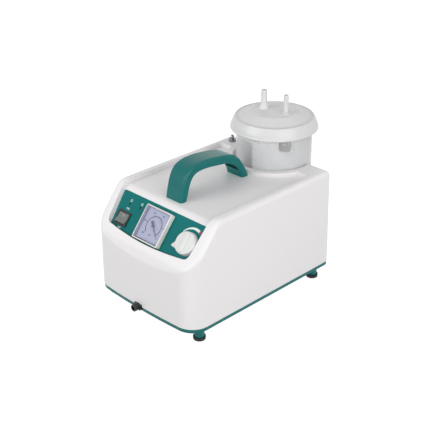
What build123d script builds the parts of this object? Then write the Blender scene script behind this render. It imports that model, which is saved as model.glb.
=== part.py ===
from build123d import *
from math import atan2, cos, degrees, pi, radians, sin, sqrt, tan
import os

os.makedirs("parts", exist_ok=True)

# A portable vacuum aspirator: a moulded case with a sloping control panel, a carrying handle,
# a collection jar that drops into a well at the back, and a diaphragm pump with its motor inside.
# X is to the right seen from the front, the front faces -Y, Z is up and the feet stand on Z = 0.
# The origin is under the middle of the whole outline. All sizes are in millimetres.

# Clearances
static_gap = 0.10
running_gap = 0.05
seat_gap = 0.20
moving_gap = 0.35

# Case
case_length = 273.0
case_width = 196.0
case_top = 164.0
case_wall = 3.0
front_bow = 4.4
front_corner = 27.0
rear_corner = 7.0
wall_draft = 0.77
slope_angle = 50.6
slope_run = 51.2
crest_blend = 19.0
shoulder_angle = 72.0
shoulder_depth = 3.2
shoulder_blend = 22.0
edge_blend = 6.0
dish_depth = 6.0
dish_corner = 7.0
dish_side = 12.0
dish_rear_land = 35.5

# Base tray and feet
foot_height = 5.0
foot_radius = 8.4
post_radius = 6.8
tray_bottom = 17.6
tray_edge = 5.4
tray_floor = 3.0
tray_inset = 0.5
lip_height = 3.0
lip_wall = 2.0
foot_side = 9.2
foot_front = 27.0
foot_rear = 21.0
vent_width = 3.0
vent_length = 34.0
vent_pitch = 8.0
vent_count = 7

# Screws
screw_radius = 1.75
screw_head_radius = 3.4
screw_head_height = 2.0
boss_radius = 4.6
boss_height = 20.0
boss_side = 7.0
boss_front = 44.0
boss_rear = 40.0

# Control panel
panel_thickness = 1.0
panel_height = 52.5
panel_top_side = 18.2
panel_bottom_side = 22.5
panel_bow = 6.6
panel_corner = 3.0
panel_drop = 62.3
panel_margin = 3.0

# Rocker switch
switch_side = 38.8
switch_s = 15.4
switch_width = 23.5
switch_height = 20.7
switch_rim = 2.0
switch_rim_height = 2.0
switch_depth = 20.0
rocker_radius = 8.0
rocker_angle = 22.0
rocker_sink = 0.6
rocker_pivot_drop = 2.5
trunnion_radius = 1.2
trunnion_length = 1.0
blade_width = 4.8
blade_thickness = 0.8
blade_length = 8.0

# Vacuum gauge
gauge_s = 23.8
gauge_size = 48.0
gauge_corner = 2.0
gauge_stand = 7.0
gauge_rim = 1.5
gauge_cover = 1.2
gauge_can_radius = 19.5
gauge_can_depth = 24.0
gauge_can_wall = 1.5
dial_height = 1.6
dial_thickness = 0.6
needle_angle = -45.0
needle_length = 15.4
needle_tail = 7.6
needle_width = 1.3
needle_thickness = 0.4
needle_lift = 1.4
needle_hub_radius = 1.8
staff_radius = 0.6
tube_loop_radius = 12.0
tube_radius = 1.6

# Regulator
knob_side = 34.0
knob_s = 22.6
knob_base_radius = 16.0
knob_top_radius = 15.0
knob_height = 7.7
knob_wall = 2.0
knob_grip_width = 7.0
knob_grip_height = 2.2
knob_tab_reach = 23.5
knob_tab_angle = 205.0
knob_boss_radius = 6.0
spindle_radius = 3.0
bush_radius = 5.0
nut_radius = 7.5
nut_height = 2.4
valve_radius = 9.0
valve_length = 26.0
barb_radius = 2.6
barb_length = 11.0

# Lamps
lamp_radius = 1.5
lamp_flange = 2.3
lamp_length = 9.0
power_lamp_side = 39.1
power_lamp_s = 36.4
mode_lamp_side = 60.0
mode_lamp_s = 37.8

# Handle
handle_width = 31.0
handle_foot = 12.5
handle_front = 64.0
handle_gap = 0.3
handle_rise = 47.2
handle_edge = 3.2
handle_hollow = 6.5
handle_skin = 3.2
handle_solid_foot = 12.0

# Jar, lid and well
jar_inset = 14.3
jar_radius = 54.2
jar_wall = 2.2
jar_bottom = 70.0
jar_height = 143.5
jar_heel = 6.0
jar_foot_ring = 1.5
jar_rim_reach = 3.2
jar_rim_height = 3.0
well_gap = 1.0
well_mouth_flare = 3.9
well_mouth_depth = 6.0
well_ring_reach = 13.2
lid_skirt_bottom = 207.0
lid_skirt_reach = 5.8
lid_wide_z = 212.0
lid_reach = 8.2
lid_shoulder_z = 224.3
lid_shoulder_reach = 1.7
lid_step = 3.0
lid_cone_foot = 223.4
lid_disc_z = 231.5
lid_cone_width = 20.6
lid_wall = 2.4
gasket_height = 1.6
port_height = 27.0
port_bore = 2.2
patient_port_x = -16.2
patient_port_y = -4.2
patient_port_radius = 4.3
vacuum_port_x = 21.2
vacuum_port_y = 0.0
vacuum_port_radius = 3.6
port_flare = 3.0
port_collar = 6.5
port_collar_height = 2.0
port_foot = 8.0
port_foot_height = 7.0
cage_radius = 9.0
cage_wall = 1.3
cage_length = 52.0
float_radius = 6.6
dip_length = 24.0

# Vacuum inlet on the case
nozzle_side = 20.0
nozzle_from_rear = 19.5
nozzle_height = 9.0
nozzle_radius = 3.0
nozzle_flange = 5.5
nozzle_thread_radius = 4.0
nozzle_bore = 1.6
nozzle_tip = 2.0

# Foot-switch socket in the front seam
socket_x = -4.0
socket_block_width = 13.5
socket_block_height = 8.0
socket_nose_radius = 5.0
socket_reach = 9.5
socket_bore = 3.2
socket_depth = 14.0

# Rear mains inlet and fuse
inlet_x = -40.0
inlet_z = 45.0
inlet_flange_width = 50.0
inlet_flange_height = 28.0
inlet_flange = 2.5
inlet_body_width = 28.0
inlet_body_height = 20.5
inlet_depth = 26.0
inlet_cavity_width = 24.4
inlet_cavity_height = 16.6
inlet_cavity_depth = 17.0
inlet_screw_pitch = 40.0
inlet_pin_pitch = 7.0
inlet_pin_drop = 2.0
inlet_pin_width = 2.0
inlet_pin_height = 4.0
fuse_x = 14.0
fuse_holder_radius = 6.5
fuse_flange_radius = 9.0
fuse_holder_depth = 34.0
fuse_radius = 2.6
fuse_length = 20.0
fuse_cap_radius = 7.2
fuse_cap_height = 7.0

# Motor and pump
mount_height = 10.0
mount_radius = 6.0
chassis_thickness = 2.0
chassis_width = 96.0
chassis_flange = 9.0
motor_x = 0.0
pump_clearance = 3.2
axis_height = 42.0
stator_radius = 34.0
stator_bore = 20.0
stator_length = 38.0
pole_count = 4
coil_thickness = 3.0
coil_overhang = 7.0
air_gap = 0.5
bell_wall = 3.0
bell_depth = 13.0
bell_window_width = 14.0
bearing_radius = 9.5
bearing_width = 6.0
shaft_radius = 4.0
fan_radius = 28.0
fan_width = 12.0
fan_blades = 7
motor_bolt_radius = 2.0
motor_bolt_circle = 29.5
motor_bolt_lug = 4.5
crank_throw = 3.0
eccentric_radius = 8.0
eccentric_width = 12.0
rod_bearing_radius = 12.0
rod_bearing_width = 7.0
rod_ring_wall = 3.5
rod_width = 8.0
rod_length = 41.0
pump_gap = 8.5
head_length = 50.0
head_width = 58.0
pump_wall = 4.0
diaphragm_radius = 21.0
diaphragm_thickness = 2.0
clamp_radius = 11.0
clamp_height = 2.0
valve_plate_height = 5.0
reed_thickness = 0.4
cover_height = 14.0
cover_wall = 3.0
hose_radius = 4.5
hose_bore = 2.75

hose_bend = 10.0
gauge_hose_x = -18.0
regulator_hose_x = -6.0

# Places that follow from the sizes above
lid_radius = jar_radius + lid_reach
lid_skirt_radius = jar_radius + lid_skirt_reach
lid_shoulder_radius = jar_radius + lid_shoulder_reach
lid_disc_radius = jar_radius - lid_cone_width
well_ring = jar_radius + well_ring_reach
rear_reach = lid_radius - jar_inset
front_y = (socket_reach - case_length - rear_reach) / 2
rear_y = front_y + case_length
jar_y = rear_y - jar_inset
seam_z = tray_bottom + tray_edge
tray_top = tray_bottom + tray_floor
half_width = case_width / 2
dish_side_rear = half_width - dish_side
panel_top_half = half_width - panel_top_side
panel_bottom_half = half_width - panel_bottom_side
switch_x = switch_side - half_width
knob_x = half_width - knob_side
power_lamp_x = power_lamp_side - half_width
mode_lamp_x = mode_lamp_side - half_width
nozzle_x = nozzle_side - half_width
dish_floor = case_top - dish_depth
cos_slope = cos(radians(slope_angle))
sin_slope = sin(radians(slope_angle))
up_slope = Vector(0, cos_slope, sin_slope)
out_slope = Vector(0, -sin_slope, cos_slope)
crest = Vector(0, front_y + slope_run, case_top)
panel_origin = crest - up_slope * panel_drop - out_slope * dish_depth
panel_plane = Plane(origin=panel_origin, x_dir=(1, 0, 0), z_dir=out_slope)
draft_slope = tan(radians(wall_draft))
well_radius = jar_radius + well_gap
well_floor = jar_bottom - seat_gap
centred = (Align.CENTER, Align.CENTER, Align.MIN)


def panel_at(x, s, h=0.0, turn=0.0):
    """The plane parallel to the panel, its origin x across, s up the slope, h out, turned about it."""
    across = Vector(1, 0, 0) * cos(radians(turn)) + up_slope * sin(radians(turn))
    return Plane(origin=panel_plane.from_local_coords((x, s, h)), x_dir=across, z_dir=out_slope)


def post(x, y, low, high, radius, mode=Mode.ADD):
    """An upright cylinder between two heights."""
    with BuildSketch(Plane.XY.offset(low)) as section:
        with Locations((x, y)):
            Circle(radius)
    extrude(section.sketch, amount=high - low, mode=mode)


def panel_post(x, s, low, high, radius, mode=Mode.ADD):
    """A cylinder square to the panel, between two heights above the recess floor."""
    with BuildSketch(panel_at(x, s, low)) as section:
        Circle(radius)
    extrude(section.sketch, amount=high - low, mode=mode)


def bar(x, z, front, back, radius, mode=Mode.ADD):
    """A cylinder along Y between two places."""
    with BuildSketch(Plane.XZ.offset(-front)) as section:
        with Locations((x, z)):
            Circle(radius)
    extrude(section.sketch, amount=front - back, mode=mode)


def case_outline(low, inset):
    """The case seen from above: bowed front, wide front corners and tight rear ones."""
    side = half_width - inset
    shoulder_y = front_y + front_bow + inset
    with BuildSketch(Plane.XY.offset(low)) as outline:
        with BuildLine():
            ThreePointArc((-side, shoulder_y), (0, front_y + inset), (side, shoulder_y))
            Polyline((side, shoulder_y), (side, rear_y - inset), (-side, rear_y - inset), (-side, shoulder_y))
        make_face()
        fillet(outline.vertices().group_by(Axis.Y)[0], front_corner - inset)
        fillet(outline.vertices().group_by(Axis.Y)[-1], rear_corner - inset)
    return outline.sketch


def case_block(low, inset, sink):
    """The drafted block that is cut by the slope; sink lowers its top and slope."""
    extrude(case_outline(low, inset), amount=case_top - sink - low, taper=wall_draft)
    slope_cut = Plane(origin=crest - out_slope * sink, x_dir=(1, 0, 0), z_dir=out_slope)
    split(bisect_by=slope_cut, keep=Keep.BOTTOM)


# Recess that runs from the foot of the panel over the crest to the jar
dish_front_side = panel_origin.Y - panel_margin * cos_slope
dish_front_middle = dish_front_side - panel_bow * cos_slope
dish_rear_y = rear_y - dish_rear_land
dish_side_front = panel_bottom_half + panel_margin
dish_side_crest = panel_top_half + panel_margin
far = case_length
with BuildPart() as dish_room:
    with BuildSketch(Plane.YZ):
        with BuildLine() as floor_line:
            drop = far * tan(radians(slope_angle))
            floor_crest = crest - out_slope * dish_depth
            crest_y = floor_crest.Y + (case_top - dish_depth - floor_crest.Z) * cos_slope / sin_slope
            FilletPolyline(
                (crest_y - far, dish_floor - drop),
                (crest_y, dish_floor),
                (rear_y + far, dish_floor),
                radius=crest_blend - dish_depth,
            )
            Polyline(
                (rear_y + far, dish_floor),
                (rear_y + far, case_top + far),
                (crest_y - far, case_top + far),
                (crest_y - far, dish_floor - drop),
            )
        make_face()
    extrude(amount=half_width, both=True)
    with BuildSketch() as dish_outline:
        with BuildLine():
            ThreePointArc(
                (-dish_side_front, dish_front_side),
                (0, dish_front_middle),
                (dish_side_front, dish_front_side),
            )
            Polyline(
                (dish_side_front, dish_front_side),
                (dish_side_crest, crest.Y),
                (dish_side_rear, dish_rear_y),
                (-dish_side_rear, dish_rear_y),
                (-dish_side_crest, crest.Y),
                (-dish_side_front, dish_front_side),
            )
        make_face()
        fillet(dish_outline.vertices().group_by(Axis.Y)[0], dish_corner)
        fillet(dish_outline.vertices().group_by(Axis.Y)[-1], dish_corner)
        with Locations((0, jar_y)):
            Circle(well_ring, mode=Mode.SUBTRACT)
    extrude(amount=case_top + far, mode=Mode.INTERSECT)

handle_y = front_y + handle_front
handle_end = jar_y - well_ring - handle_gap
handle_span = handle_end - handle_y
dish_under = dish_floor - case_wall
nozzle_y = rear_y - nozzle_from_rear
socket_top = tray_bottom + tray_floor / 3 + socket_block_height
socket_z = socket_top - socket_block_height / 2
handle_screw_places = [
    (x, y)
    for x in (-handle_width / 4, handle_width / 4)
    for y in (handle_y + handle_foot * 0.5, handle_end - handle_foot * 0.7)
]
boss_places = [
    (side * (half_width - boss_side), y)
    for side in (-1, 1)
    for y in (front_y + boss_front, rear_y - boss_rear)
]
foot_places = [
    (side * (half_width - foot_side - foot_radius + foot_side / 2), y)
    for side in (-1, 1)
    for y in (front_y + foot_front, rear_y - foot_rear)
]

# Space inside the case, with the jar well left standing in it
with BuildPart() as case_room:
    case_block(seam_z, case_wall, dish_depth + case_wall)
    post(0, jar_y, jar_bottom - case_wall - seat_gap, case_top, well_radius + case_wall, Mode.SUBTRACT)

# Upper housing
with BuildPart() as upper_housing:
    case_block(seam_z, 0, 0)
    crest_edge = edges().filter_by(Axis.X).group_by(Axis.Z)[-1].sort_by(Axis.Y)[0]
    fillet(crest_edge, crest_blend)
    shoulder_out = Vector(0, -sin(radians(shoulder_angle)), cos(radians(shoulder_angle)))
    shoulder_corner = Vector(0, front_y, case_top - slope_run * sin_slope / cos_slope)
    shoulder_foot = shoulder_corner - shoulder_out * shoulder_depth
    split(bisect_by=Plane(origin=shoulder_foot, x_dir=(1, 0, 0), z_dir=shoulder_out), keep=Keep.BOTTOM)
    fillet(edges().filter_by(Axis.X).sort_by(Axis.Y)[0], shoulder_blend)
    fillet(edges().group_by(Axis.Z)[-1].sort_by(Axis.Y)[-1], edge_blend)
    add(case_room.part, mode=Mode.SUBTRACT)
    add(dish_room.part, mode=Mode.SUBTRACT)
    post(0, jar_y, well_floor, case_top + case_wall, well_radius, Mode.SUBTRACT)
    with Locations((0, jar_y, case_top - well_mouth_depth)):
        Cone(
            well_radius,
            well_radius + well_mouth_flare + well_mouth_flare / well_mouth_depth,
            well_mouth_depth + 1,
            align=centred,
            mode=Mode.SUBTRACT,
        )
    for x, y in boss_places:
        post(x, y, tray_top, seam_z + boss_height, boss_radius)
        post(x, y, tray_top, seam_z + boss_height - case_wall, screw_radius, Mode.SUBTRACT)
    with BuildSketch(panel_at(switch_x, switch_s)):
        Rectangle(switch_width - switch_rim, switch_height - switch_rim)
    extrude(amount=-switch_depth, mode=Mode.SUBTRACT)
    panel_post(0, gauge_s, -gauge_can_depth, 0, gauge_can_radius + static_gap, Mode.SUBTRACT)
    panel_post(knob_x, knob_s, -valve_length, 0, bush_radius + static_gap, Mode.SUBTRACT)
    for x, s in ((power_lamp_x, power_lamp_s), (mode_lamp_x, mode_lamp_s)):
        panel_post(x, s, -lamp_length, 0, lamp_radius + static_gap, Mode.SUBTRACT)
    for x, y in handle_screw_places:
        post(x, y, dish_under, dish_floor, screw_radius + static_gap, Mode.SUBTRACT)
    post(nozzle_x, nozzle_y, dish_under, case_top, nozzle_thread_radius + static_gap, Mode.SUBTRACT)
    with BuildSketch(Plane.XZ.offset(-rear_y)):
        with Locations((inlet_x, inlet_z)):
            Rectangle(inlet_body_width + 2 * static_gap, inlet_body_height + 2 * static_gap)
            with GridLocations(inlet_screw_pitch, 0, 2, 1):
                Circle(screw_radius)
        with Locations((fuse_x, inlet_z)):
            Circle(fuse_holder_radius + static_gap)
    extrude(amount=2 * case_wall, mode=Mode.SUBTRACT)
    with BuildSketch(Plane.XZ.offset(-front_y)):
        with Locations((socket_x, socket_z)):
            Rectangle(socket_block_width + 2 * static_gap, socket_block_height + 2 * static_gap)
    extrude(amount=-2 * case_wall, mode=Mode.SUBTRACT)
upper_housing.part.label = "upper_housing"
export_step(upper_housing.part, "parts/upper_housing.step")

# Base tray
with BuildPart() as base_tray:
    lip_inset = case_wall + static_gap + draft_slope * lip_height
    lip_top = tray_edge - tray_floor + lip_height
    extrude(case_outline(tray_bottom, tray_inset), amount=tray_edge)
    extrude(case_outline(tray_top, case_wall), amount=tray_edge, mode=Mode.SUBTRACT)
    extrude(case_outline(tray_top, lip_inset), amount=lip_top)
    extrude(case_outline(tray_top, lip_inset + lip_wall), amount=lip_top, mode=Mode.SUBTRACT)
    for x, y in boss_places:
        post(x, y, tray_top, seam_z + lip_height, boss_radius + static_gap, Mode.SUBTRACT)
        post(x, y, tray_bottom, tray_top, screw_radius + static_gap, Mode.SUBTRACT)
    for x, y in foot_places:
        post(x, y, foot_height, tray_bottom, post_radius)
        post(x, y, foot_height, tray_bottom, screw_radius, Mode.SUBTRACT)
    with BuildSketch(Plane.XY.offset(tray_bottom)):
        with GridLocations(case_width / 3, 0, 2, 1):
            with GridLocations(0, vent_pitch, 1, vent_count):
                SlotOverall(vent_length, vent_width)
    extrude(amount=tray_floor, mode=Mode.SUBTRACT)
    with BuildSketch(Plane.XZ.offset(-front_y)):
        with Locations((socket_x, socket_z)):
            Rectangle(socket_block_width + 2 * static_gap, socket_block_height + 2 * static_gap)
    extrude(amount=-2 * case_wall, mode=Mode.SUBTRACT)
    with BuildSketch(Plane.XZ.offset(static_gap - front_y - 2 * case_wall)):
        with Locations((socket_x, (tray_top + socket_top) / 2)):
            Rectangle(socket_block_width + 4 * case_wall, socket_top - tray_top)
    extrude(amount=-2 * case_wall, mode=Mode.SUBTRACT)
base_tray.part.label = "base_tray"
export_step(base_tray.part, "parts/base_tray.step")

# Feet, one rubber disc under each post, recessed for its screw
with BuildPart() as rubber_feet:
    for x, y in foot_places:
        post(x, y, 0, foot_height, foot_radius)
    fillet(edges().filter_by(GeomType.CIRCLE).group_by(Axis.Z)[0], foot_height / 5)
    for x, y in foot_places:
        post(x, y, 0, foot_height / 2, screw_head_radius + static_gap, Mode.SUBTRACT)
        post(x, y, 0, foot_height, screw_radius + static_gap, Mode.SUBTRACT)
rubber_feet.part.label = "rubber_feet"
export_step(rubber_feet.part, "parts/rubber_feet.step")


def cross_head_screws(places, seat, length, up=1):
    """Pan-head screws with cross slots; up is the side of the seat that the shank points to."""
    for x, y in places:
        head_end = seat - up * screw_head_height
        post(x, y, min(seat, head_end), max(seat, head_end), screw_head_radius)
        post(x, y, min(seat, seat + up * length), max(seat, seat + up * length), screw_radius - static_gap)
        with Locations((x, y, head_end)):
            Box(screw_head_radius, screw_radius / 3, screw_head_height, mode=Mode.SUBTRACT)
            Box(screw_radius / 3, screw_head_radius, screw_head_height, mode=Mode.SUBTRACT)


with BuildPart() as base_screws:
    cross_head_screws(foot_places, foot_height / 2, post_radius * 1.5)
    cross_head_screws(boss_places, tray_bottom, boss_height / 2)
base_screws.part.label = "base_screws"
export_step(base_screws.part, "parts/base_screws.step")

# Handle, an arch with a rounded top and a hollow under side


def handle_point(along, up, inset=0.0):
    """A place on the handle's side view, in shares of its span and its rise, moved in by inset."""
    span = handle_span - 2 * inset
    return (handle_y + inset + span * along, dish_floor + (handle_rise - inset) * up)


def handle_back(inset):
    """The upper line of the handle: steep at the front, highest in the first third, long fall behind."""
    Spline(
        handle_point(0, 0, inset),
        handle_point(0.031, 0.38, inset),
        handle_point(0.125, 0.865, inset),
        handle_point(0.33, 1, inset),
        handle_point(0.61, 0.925, inset),
        handle_point(0.8, 0.775, inset),
        handle_point(0.925, 0.41, inset),
        handle_point(1, 0, inset),
    )


with BuildPart() as handle_room:
    with BuildSketch(Plane.YZ):
        with BuildLine():
            handle_back(handle_hollow)
            Line(handle_point(1, 0, handle_hollow), handle_point(0, 0, handle_hollow))
        make_face()
    extrude(amount=handle_width / 2 - handle_skin, both=True)
    split(bisect_by=Plane.XY.offset(dish_floor + handle_solid_foot), keep=Keep.TOP)

with BuildPart() as handle:
    with BuildSketch(Plane.YZ):
        with BuildLine():
            handle_back(0)
            Line(handle_point(1, 0), handle_point(0.9, 0))
            Spline(
                handle_point(0.9, 0),
                handle_point(0.845, 0.33),
                handle_point(0.74, 0.56),
                handle_point(0.56, 0.675),
                handle_point(0.33, 0.735),
                handle_point(0.2, 0.66),
                handle_point(0.125, 0.31),
                handle_point(0.088, 0),
            )
            Line(handle_point(0.088, 0), handle_point(0, 0))
        make_face()
    extrude(amount=handle_width / 2, both=True)
    outer_edges = edges().filter_by(lambda edge: abs(edge.center().X) > handle_width / 2 - 0.1)
    fillet([edge for edge in outer_edges if edge.center().Z > dish_floor + 0.1], handle_edge)
    add(handle_room.part, mode=Mode.SUBTRACT)
    for x, y in handle_screw_places:
        post(x, y, dish_floor, dish_floor + handle_solid_foot - handle_skin, screw_radius, Mode.SUBTRACT)
handle.part.label = "handle"
export_step(handle.part, "parts/handle.step")

with BuildPart() as handle_screws:
    cross_head_screws(handle_screw_places, dish_under, case_wall + handle_solid_foot / 2)
handle_screws.part.label = "handle_screws"
export_step(handle_screws.part, "parts/handle_screws.step")

# Control panel overlay
with BuildPart() as control_panel:
    with BuildSketch(panel_plane) as panel_face:
        with BuildLine():
            ThreePointArc((-panel_bottom_half, 0), (0, -panel_bow), (panel_bottom_half, 0))
            Polyline(
                (panel_bottom_half, 0),
                (panel_top_half, panel_height),
                (-panel_top_half, panel_height),
                (-panel_bottom_half, 0),
            )
        make_face()
        fillet(panel_face.vertices(), panel_corner)
        with Locations((switch_x, switch_s)):
            Rectangle(switch_width - switch_rim, switch_height - switch_rim, mode=Mode.SUBTRACT)
        with Locations((0, gauge_s)):
            Circle(gauge_can_radius + static_gap, mode=Mode.SUBTRACT)
        with Locations((knob_x, knob_s)):
            Circle(bush_radius + static_gap, mode=Mode.SUBTRACT)
        with Locations((power_lamp_x, power_lamp_s), (mode_lamp_x, mode_lamp_s)):
            Circle(lamp_radius + static_gap, mode=Mode.SUBTRACT)
    extrude(amount=panel_thickness)
control_panel.part.label = "control_panel"
export_step(control_panel.part, "parts/control_panel.step")

# Rocker switch: its body, the rocker on two trunnions, and the blades behind
switch_face = panel_thickness + switch_rim_height
pocket_width = switch_width - 2 * switch_rim
pocket_height = switch_height - 2 * switch_rim
pivot_height = switch_face - rocker_sink - rocker_pivot_drop
pocket_floor = pivot_height - rocker_radius - moving_gap
with BuildPart() as switch_body:
    with BuildSketch(panel_at(switch_x, switch_s, panel_thickness)):
        RectangleRounded(switch_width, switch_height, switch_rim / 2)
    extrude(amount=switch_rim_height)
    fillet(faces().sort_by(Axis((0, 0, 0), out_slope))[-1].edges(), switch_rim_height / 4)
    with BuildSketch(panel_at(switch_x, switch_s, panel_thickness)):
        Rectangle(switch_width - switch_rim - 2 * static_gap, switch_height - switch_rim - 2 * static_gap)
    extrude(amount=-switch_depth)
    with BuildSketch(panel_at(switch_x, switch_s, pocket_floor)):
        Rectangle(pocket_width, pocket_height)
    extrude(amount=switch_depth, mode=Mode.SUBTRACT)
    with BuildSketch(Plane(panel_at(switch_x, switch_s, pivot_height).origin, z_dir=(1, 0, 0))):
        Circle(trunnion_radius + running_gap)
    extrude(amount=pocket_width / 2 + trunnion_length + static_gap, both=True, mode=Mode.SUBTRACT)
switch_body.part.label = "switch_body"
export_step(switch_body.part, "parts/switch_body.step")

rocker_plane = Plane(
    origin=panel_at(switch_x, switch_s, pivot_height).origin, x_dir=up_slope, z_dir=(1, 0, 0)
)
rocker_half = pocket_width / 2 - moving_gap
with BuildPart() as switch_rocker:
    with BuildSketch(rocker_plane):
        Circle(rocker_radius)
        with BuildLine(mode=Mode.PRIVATE) as key_top:
            reach = 2 * rocker_radius
            Polyline(
                (reach, rocker_pivot_drop),
                (0, rocker_pivot_drop),
                (-reach * cos(radians(rocker_angle)), rocker_pivot_drop + reach * sin(radians(rocker_angle))),
                (-reach, 2 * reach),
                (reach, 2 * reach),
                (reach, rocker_pivot_drop),
            )
        make_face(key_top.line, mode=Mode.SUBTRACT)
    extrude(amount=rocker_half, both=True)
    with BuildSketch(rocker_plane):
        Circle(trunnion_radius)
    extrude(amount=rocker_half + moving_gap + trunnion_length, both=True)
switch_rocker.part.label = "switch_rocker"
export_step(switch_rocker.part, "parts/switch_rocker.step")

with BuildPart() as switch_blades:
    with BuildSketch(panel_at(switch_x, switch_s, panel_thickness - switch_depth)):
        with GridLocations(pocket_width / 2, pocket_height / 2, 2, 2):
            Rectangle(blade_width, blade_thickness)
    extrude(amount=-blade_length)
switch_blades.part.label = "switch_blades"
export_step(switch_blades.part, "parts/switch_blades.step")

# Vacuum gauge: case with its can, dial, needle on a staff, movement, cover and stem
gauge_front = panel_thickness + gauge_stand
cover_seat = gauge_front - gauge_cover
dial_seat = panel_thickness + dial_height
can_back = panel_thickness - gauge_can_depth
gauge_window = gauge_size - 2 * gauge_rim
with BuildPart() as gauge_case:
    with BuildSketch(panel_at(0, gauge_s, panel_thickness)):
        RectangleRounded(gauge_size, gauge_size, gauge_corner)
    extrude(amount=gauge_stand)
    fillet(faces().sort_by(Axis((0, 0, 0), out_slope))[-1].outer_wire().edges(), gauge_rim / 3)
    panel_post(0, gauge_s, can_back, panel_thickness, gauge_can_radius)
    with BuildSketch(panel_at(0, gauge_s, dial_seat)):
        Rectangle(gauge_window, gauge_window)
    extrude(amount=gauge_stand, mode=Mode.SUBTRACT)
    panel_post(
        0, gauge_s, can_back + gauge_can_wall, dial_seat, gauge_can_radius - gauge_can_wall, Mode.SUBTRACT
    )
    panel_post(0, gauge_s, can_back, dial_seat, barb_radius + static_gap, Mode.SUBTRACT)
gauge_case.part.label = "gauge_case"
export_step(gauge_case.part, "parts/gauge_case.step")

with BuildPart() as gauge_dial:
    with BuildSketch(panel_at(0, gauge_s, dial_seat)):
        Rectangle(gauge_window - 2 * static_gap, gauge_window - 2 * static_gap)
        Circle(staff_radius + 2 * running_gap, mode=Mode.SUBTRACT)
    extrude(amount=dial_thickness)
gauge_dial.part.label = "gauge_dial"
export_step(gauge_dial.part, "parts/gauge_dial.step")

with BuildPart() as gauge_cover_lens:
    with BuildSketch(panel_at(0, gauge_s, cover_seat)):
        Rectangle(gauge_window - 2 * static_gap, gauge_window - 2 * static_gap)
    extrude(amount=gauge_cover)
    with BuildSketch(panel_at(0, gauge_s, dial_seat + dial_thickness)):
        Rectangle(gauge_window - 2 * static_gap, gauge_window - 2 * static_gap)
        Rectangle(gauge_window - 2 * gauge_rim, gauge_window - 2 * gauge_rim, mode=Mode.SUBTRACT)
    extrude(amount=cover_seat - dial_seat - dial_thickness)
gauge_cover_lens.part.label = "gauge_lens"
export_step(gauge_cover_lens.part, "parts/gauge_lens.step")

movement_back = dial_seat - gauge_can_radius * 0.45
needle_seat = dial_seat + dial_thickness + needle_lift
with BuildPart() as gauge_needle:
    with BuildSketch(panel_at(0, gauge_s, needle_seat, needle_angle)):
        Circle(needle_hub_radius)
        with BuildLine():
            Polyline(
                (0, -needle_width / 2),
                (needle_length, -needle_width / 6),
                (needle_length, needle_width / 6),
                (0, needle_width / 2),
                (0, -needle_width / 2),
            )
        make_face()
        with BuildLine():
            Polyline(
                (0, -needle_width),
                (-needle_tail, -needle_width * 1.3),
                (-needle_tail, needle_width * 1.3),
                (0, needle_width),
                (0, -needle_width),
            )
        make_face()
    extrude(amount=needle_thickness)
    panel_post(0, gauge_s, needle_seat, needle_seat + needle_lift, needle_hub_radius)
    panel_post(0, gauge_s, movement_back, needle_seat, staff_radius)
gauge_needle.part.label = "gauge_needle"
export_step(gauge_needle.part, "parts/gauge_needle.step")

with BuildPart() as gauge_movement:
    for plate_height in (movement_back - dial_thickness, movement_back + gauge_can_radius / 5):
        with BuildSketch(panel_at(0, gauge_s, plate_height)):
            SlotOverall(gauge_can_radius * 1.5, gauge_can_radius * 0.6)
            if plate_height > movement_back:
                Circle(staff_radius + running_gap, mode=Mode.SUBTRACT)
        extrude(amount=dial_thickness)
    for side in (-1, 1):
        panel_post(
            side * gauge_can_radius * 0.6, gauge_s, movement_back - dial_thickness, dial_seat, staff_radius * 2
        )
gauge_movement.part.label = "gauge_movement"
export_step(gauge_movement.part, "parts/gauge_movement.step")

tube_height = movement_back - dial_thickness - tube_radius - static_gap
stem_foot = can_back - barb_length
with BuildPart() as gauge_tube:
    with BuildLine(panel_at(0, gauge_s, tube_height)) as tube_line:
        CenterArc((0, 0), tube_loop_radius, -90, 250)
    with BuildSketch(Plane(tube_line.line @ 0, z_dir=tube_line.line % 0)):
        Circle(tube_radius)
    sweep()
gauge_tube.part.label = "gauge_bourdon_tube"
export_step(gauge_tube.part, "parts/gauge_bourdon_tube.step")

with BuildPart() as gauge_stem:
    panel_post(0, gauge_s, stem_foot, tube_height - tube_radius, barb_radius)
    with BuildSketch(panel_at(0, gauge_s, can_back + gauge_can_wall)):
        Rectangle(barb_radius * 3, tube_loop_radius * 2 + barb_radius)
    extrude(amount=tube_height - tube_radius - can_back - gauge_can_wall)
    panel_post(0, gauge_s, can_back - nut_height, can_back, nut_radius)
    panel_post(0, gauge_s, stem_foot, can_back, barb_radius / 2.5, Mode.SUBTRACT)
gauge_stem.part.label = "gauge_stem"
export_step(gauge_stem.part, "parts/gauge_stem.step")

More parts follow.
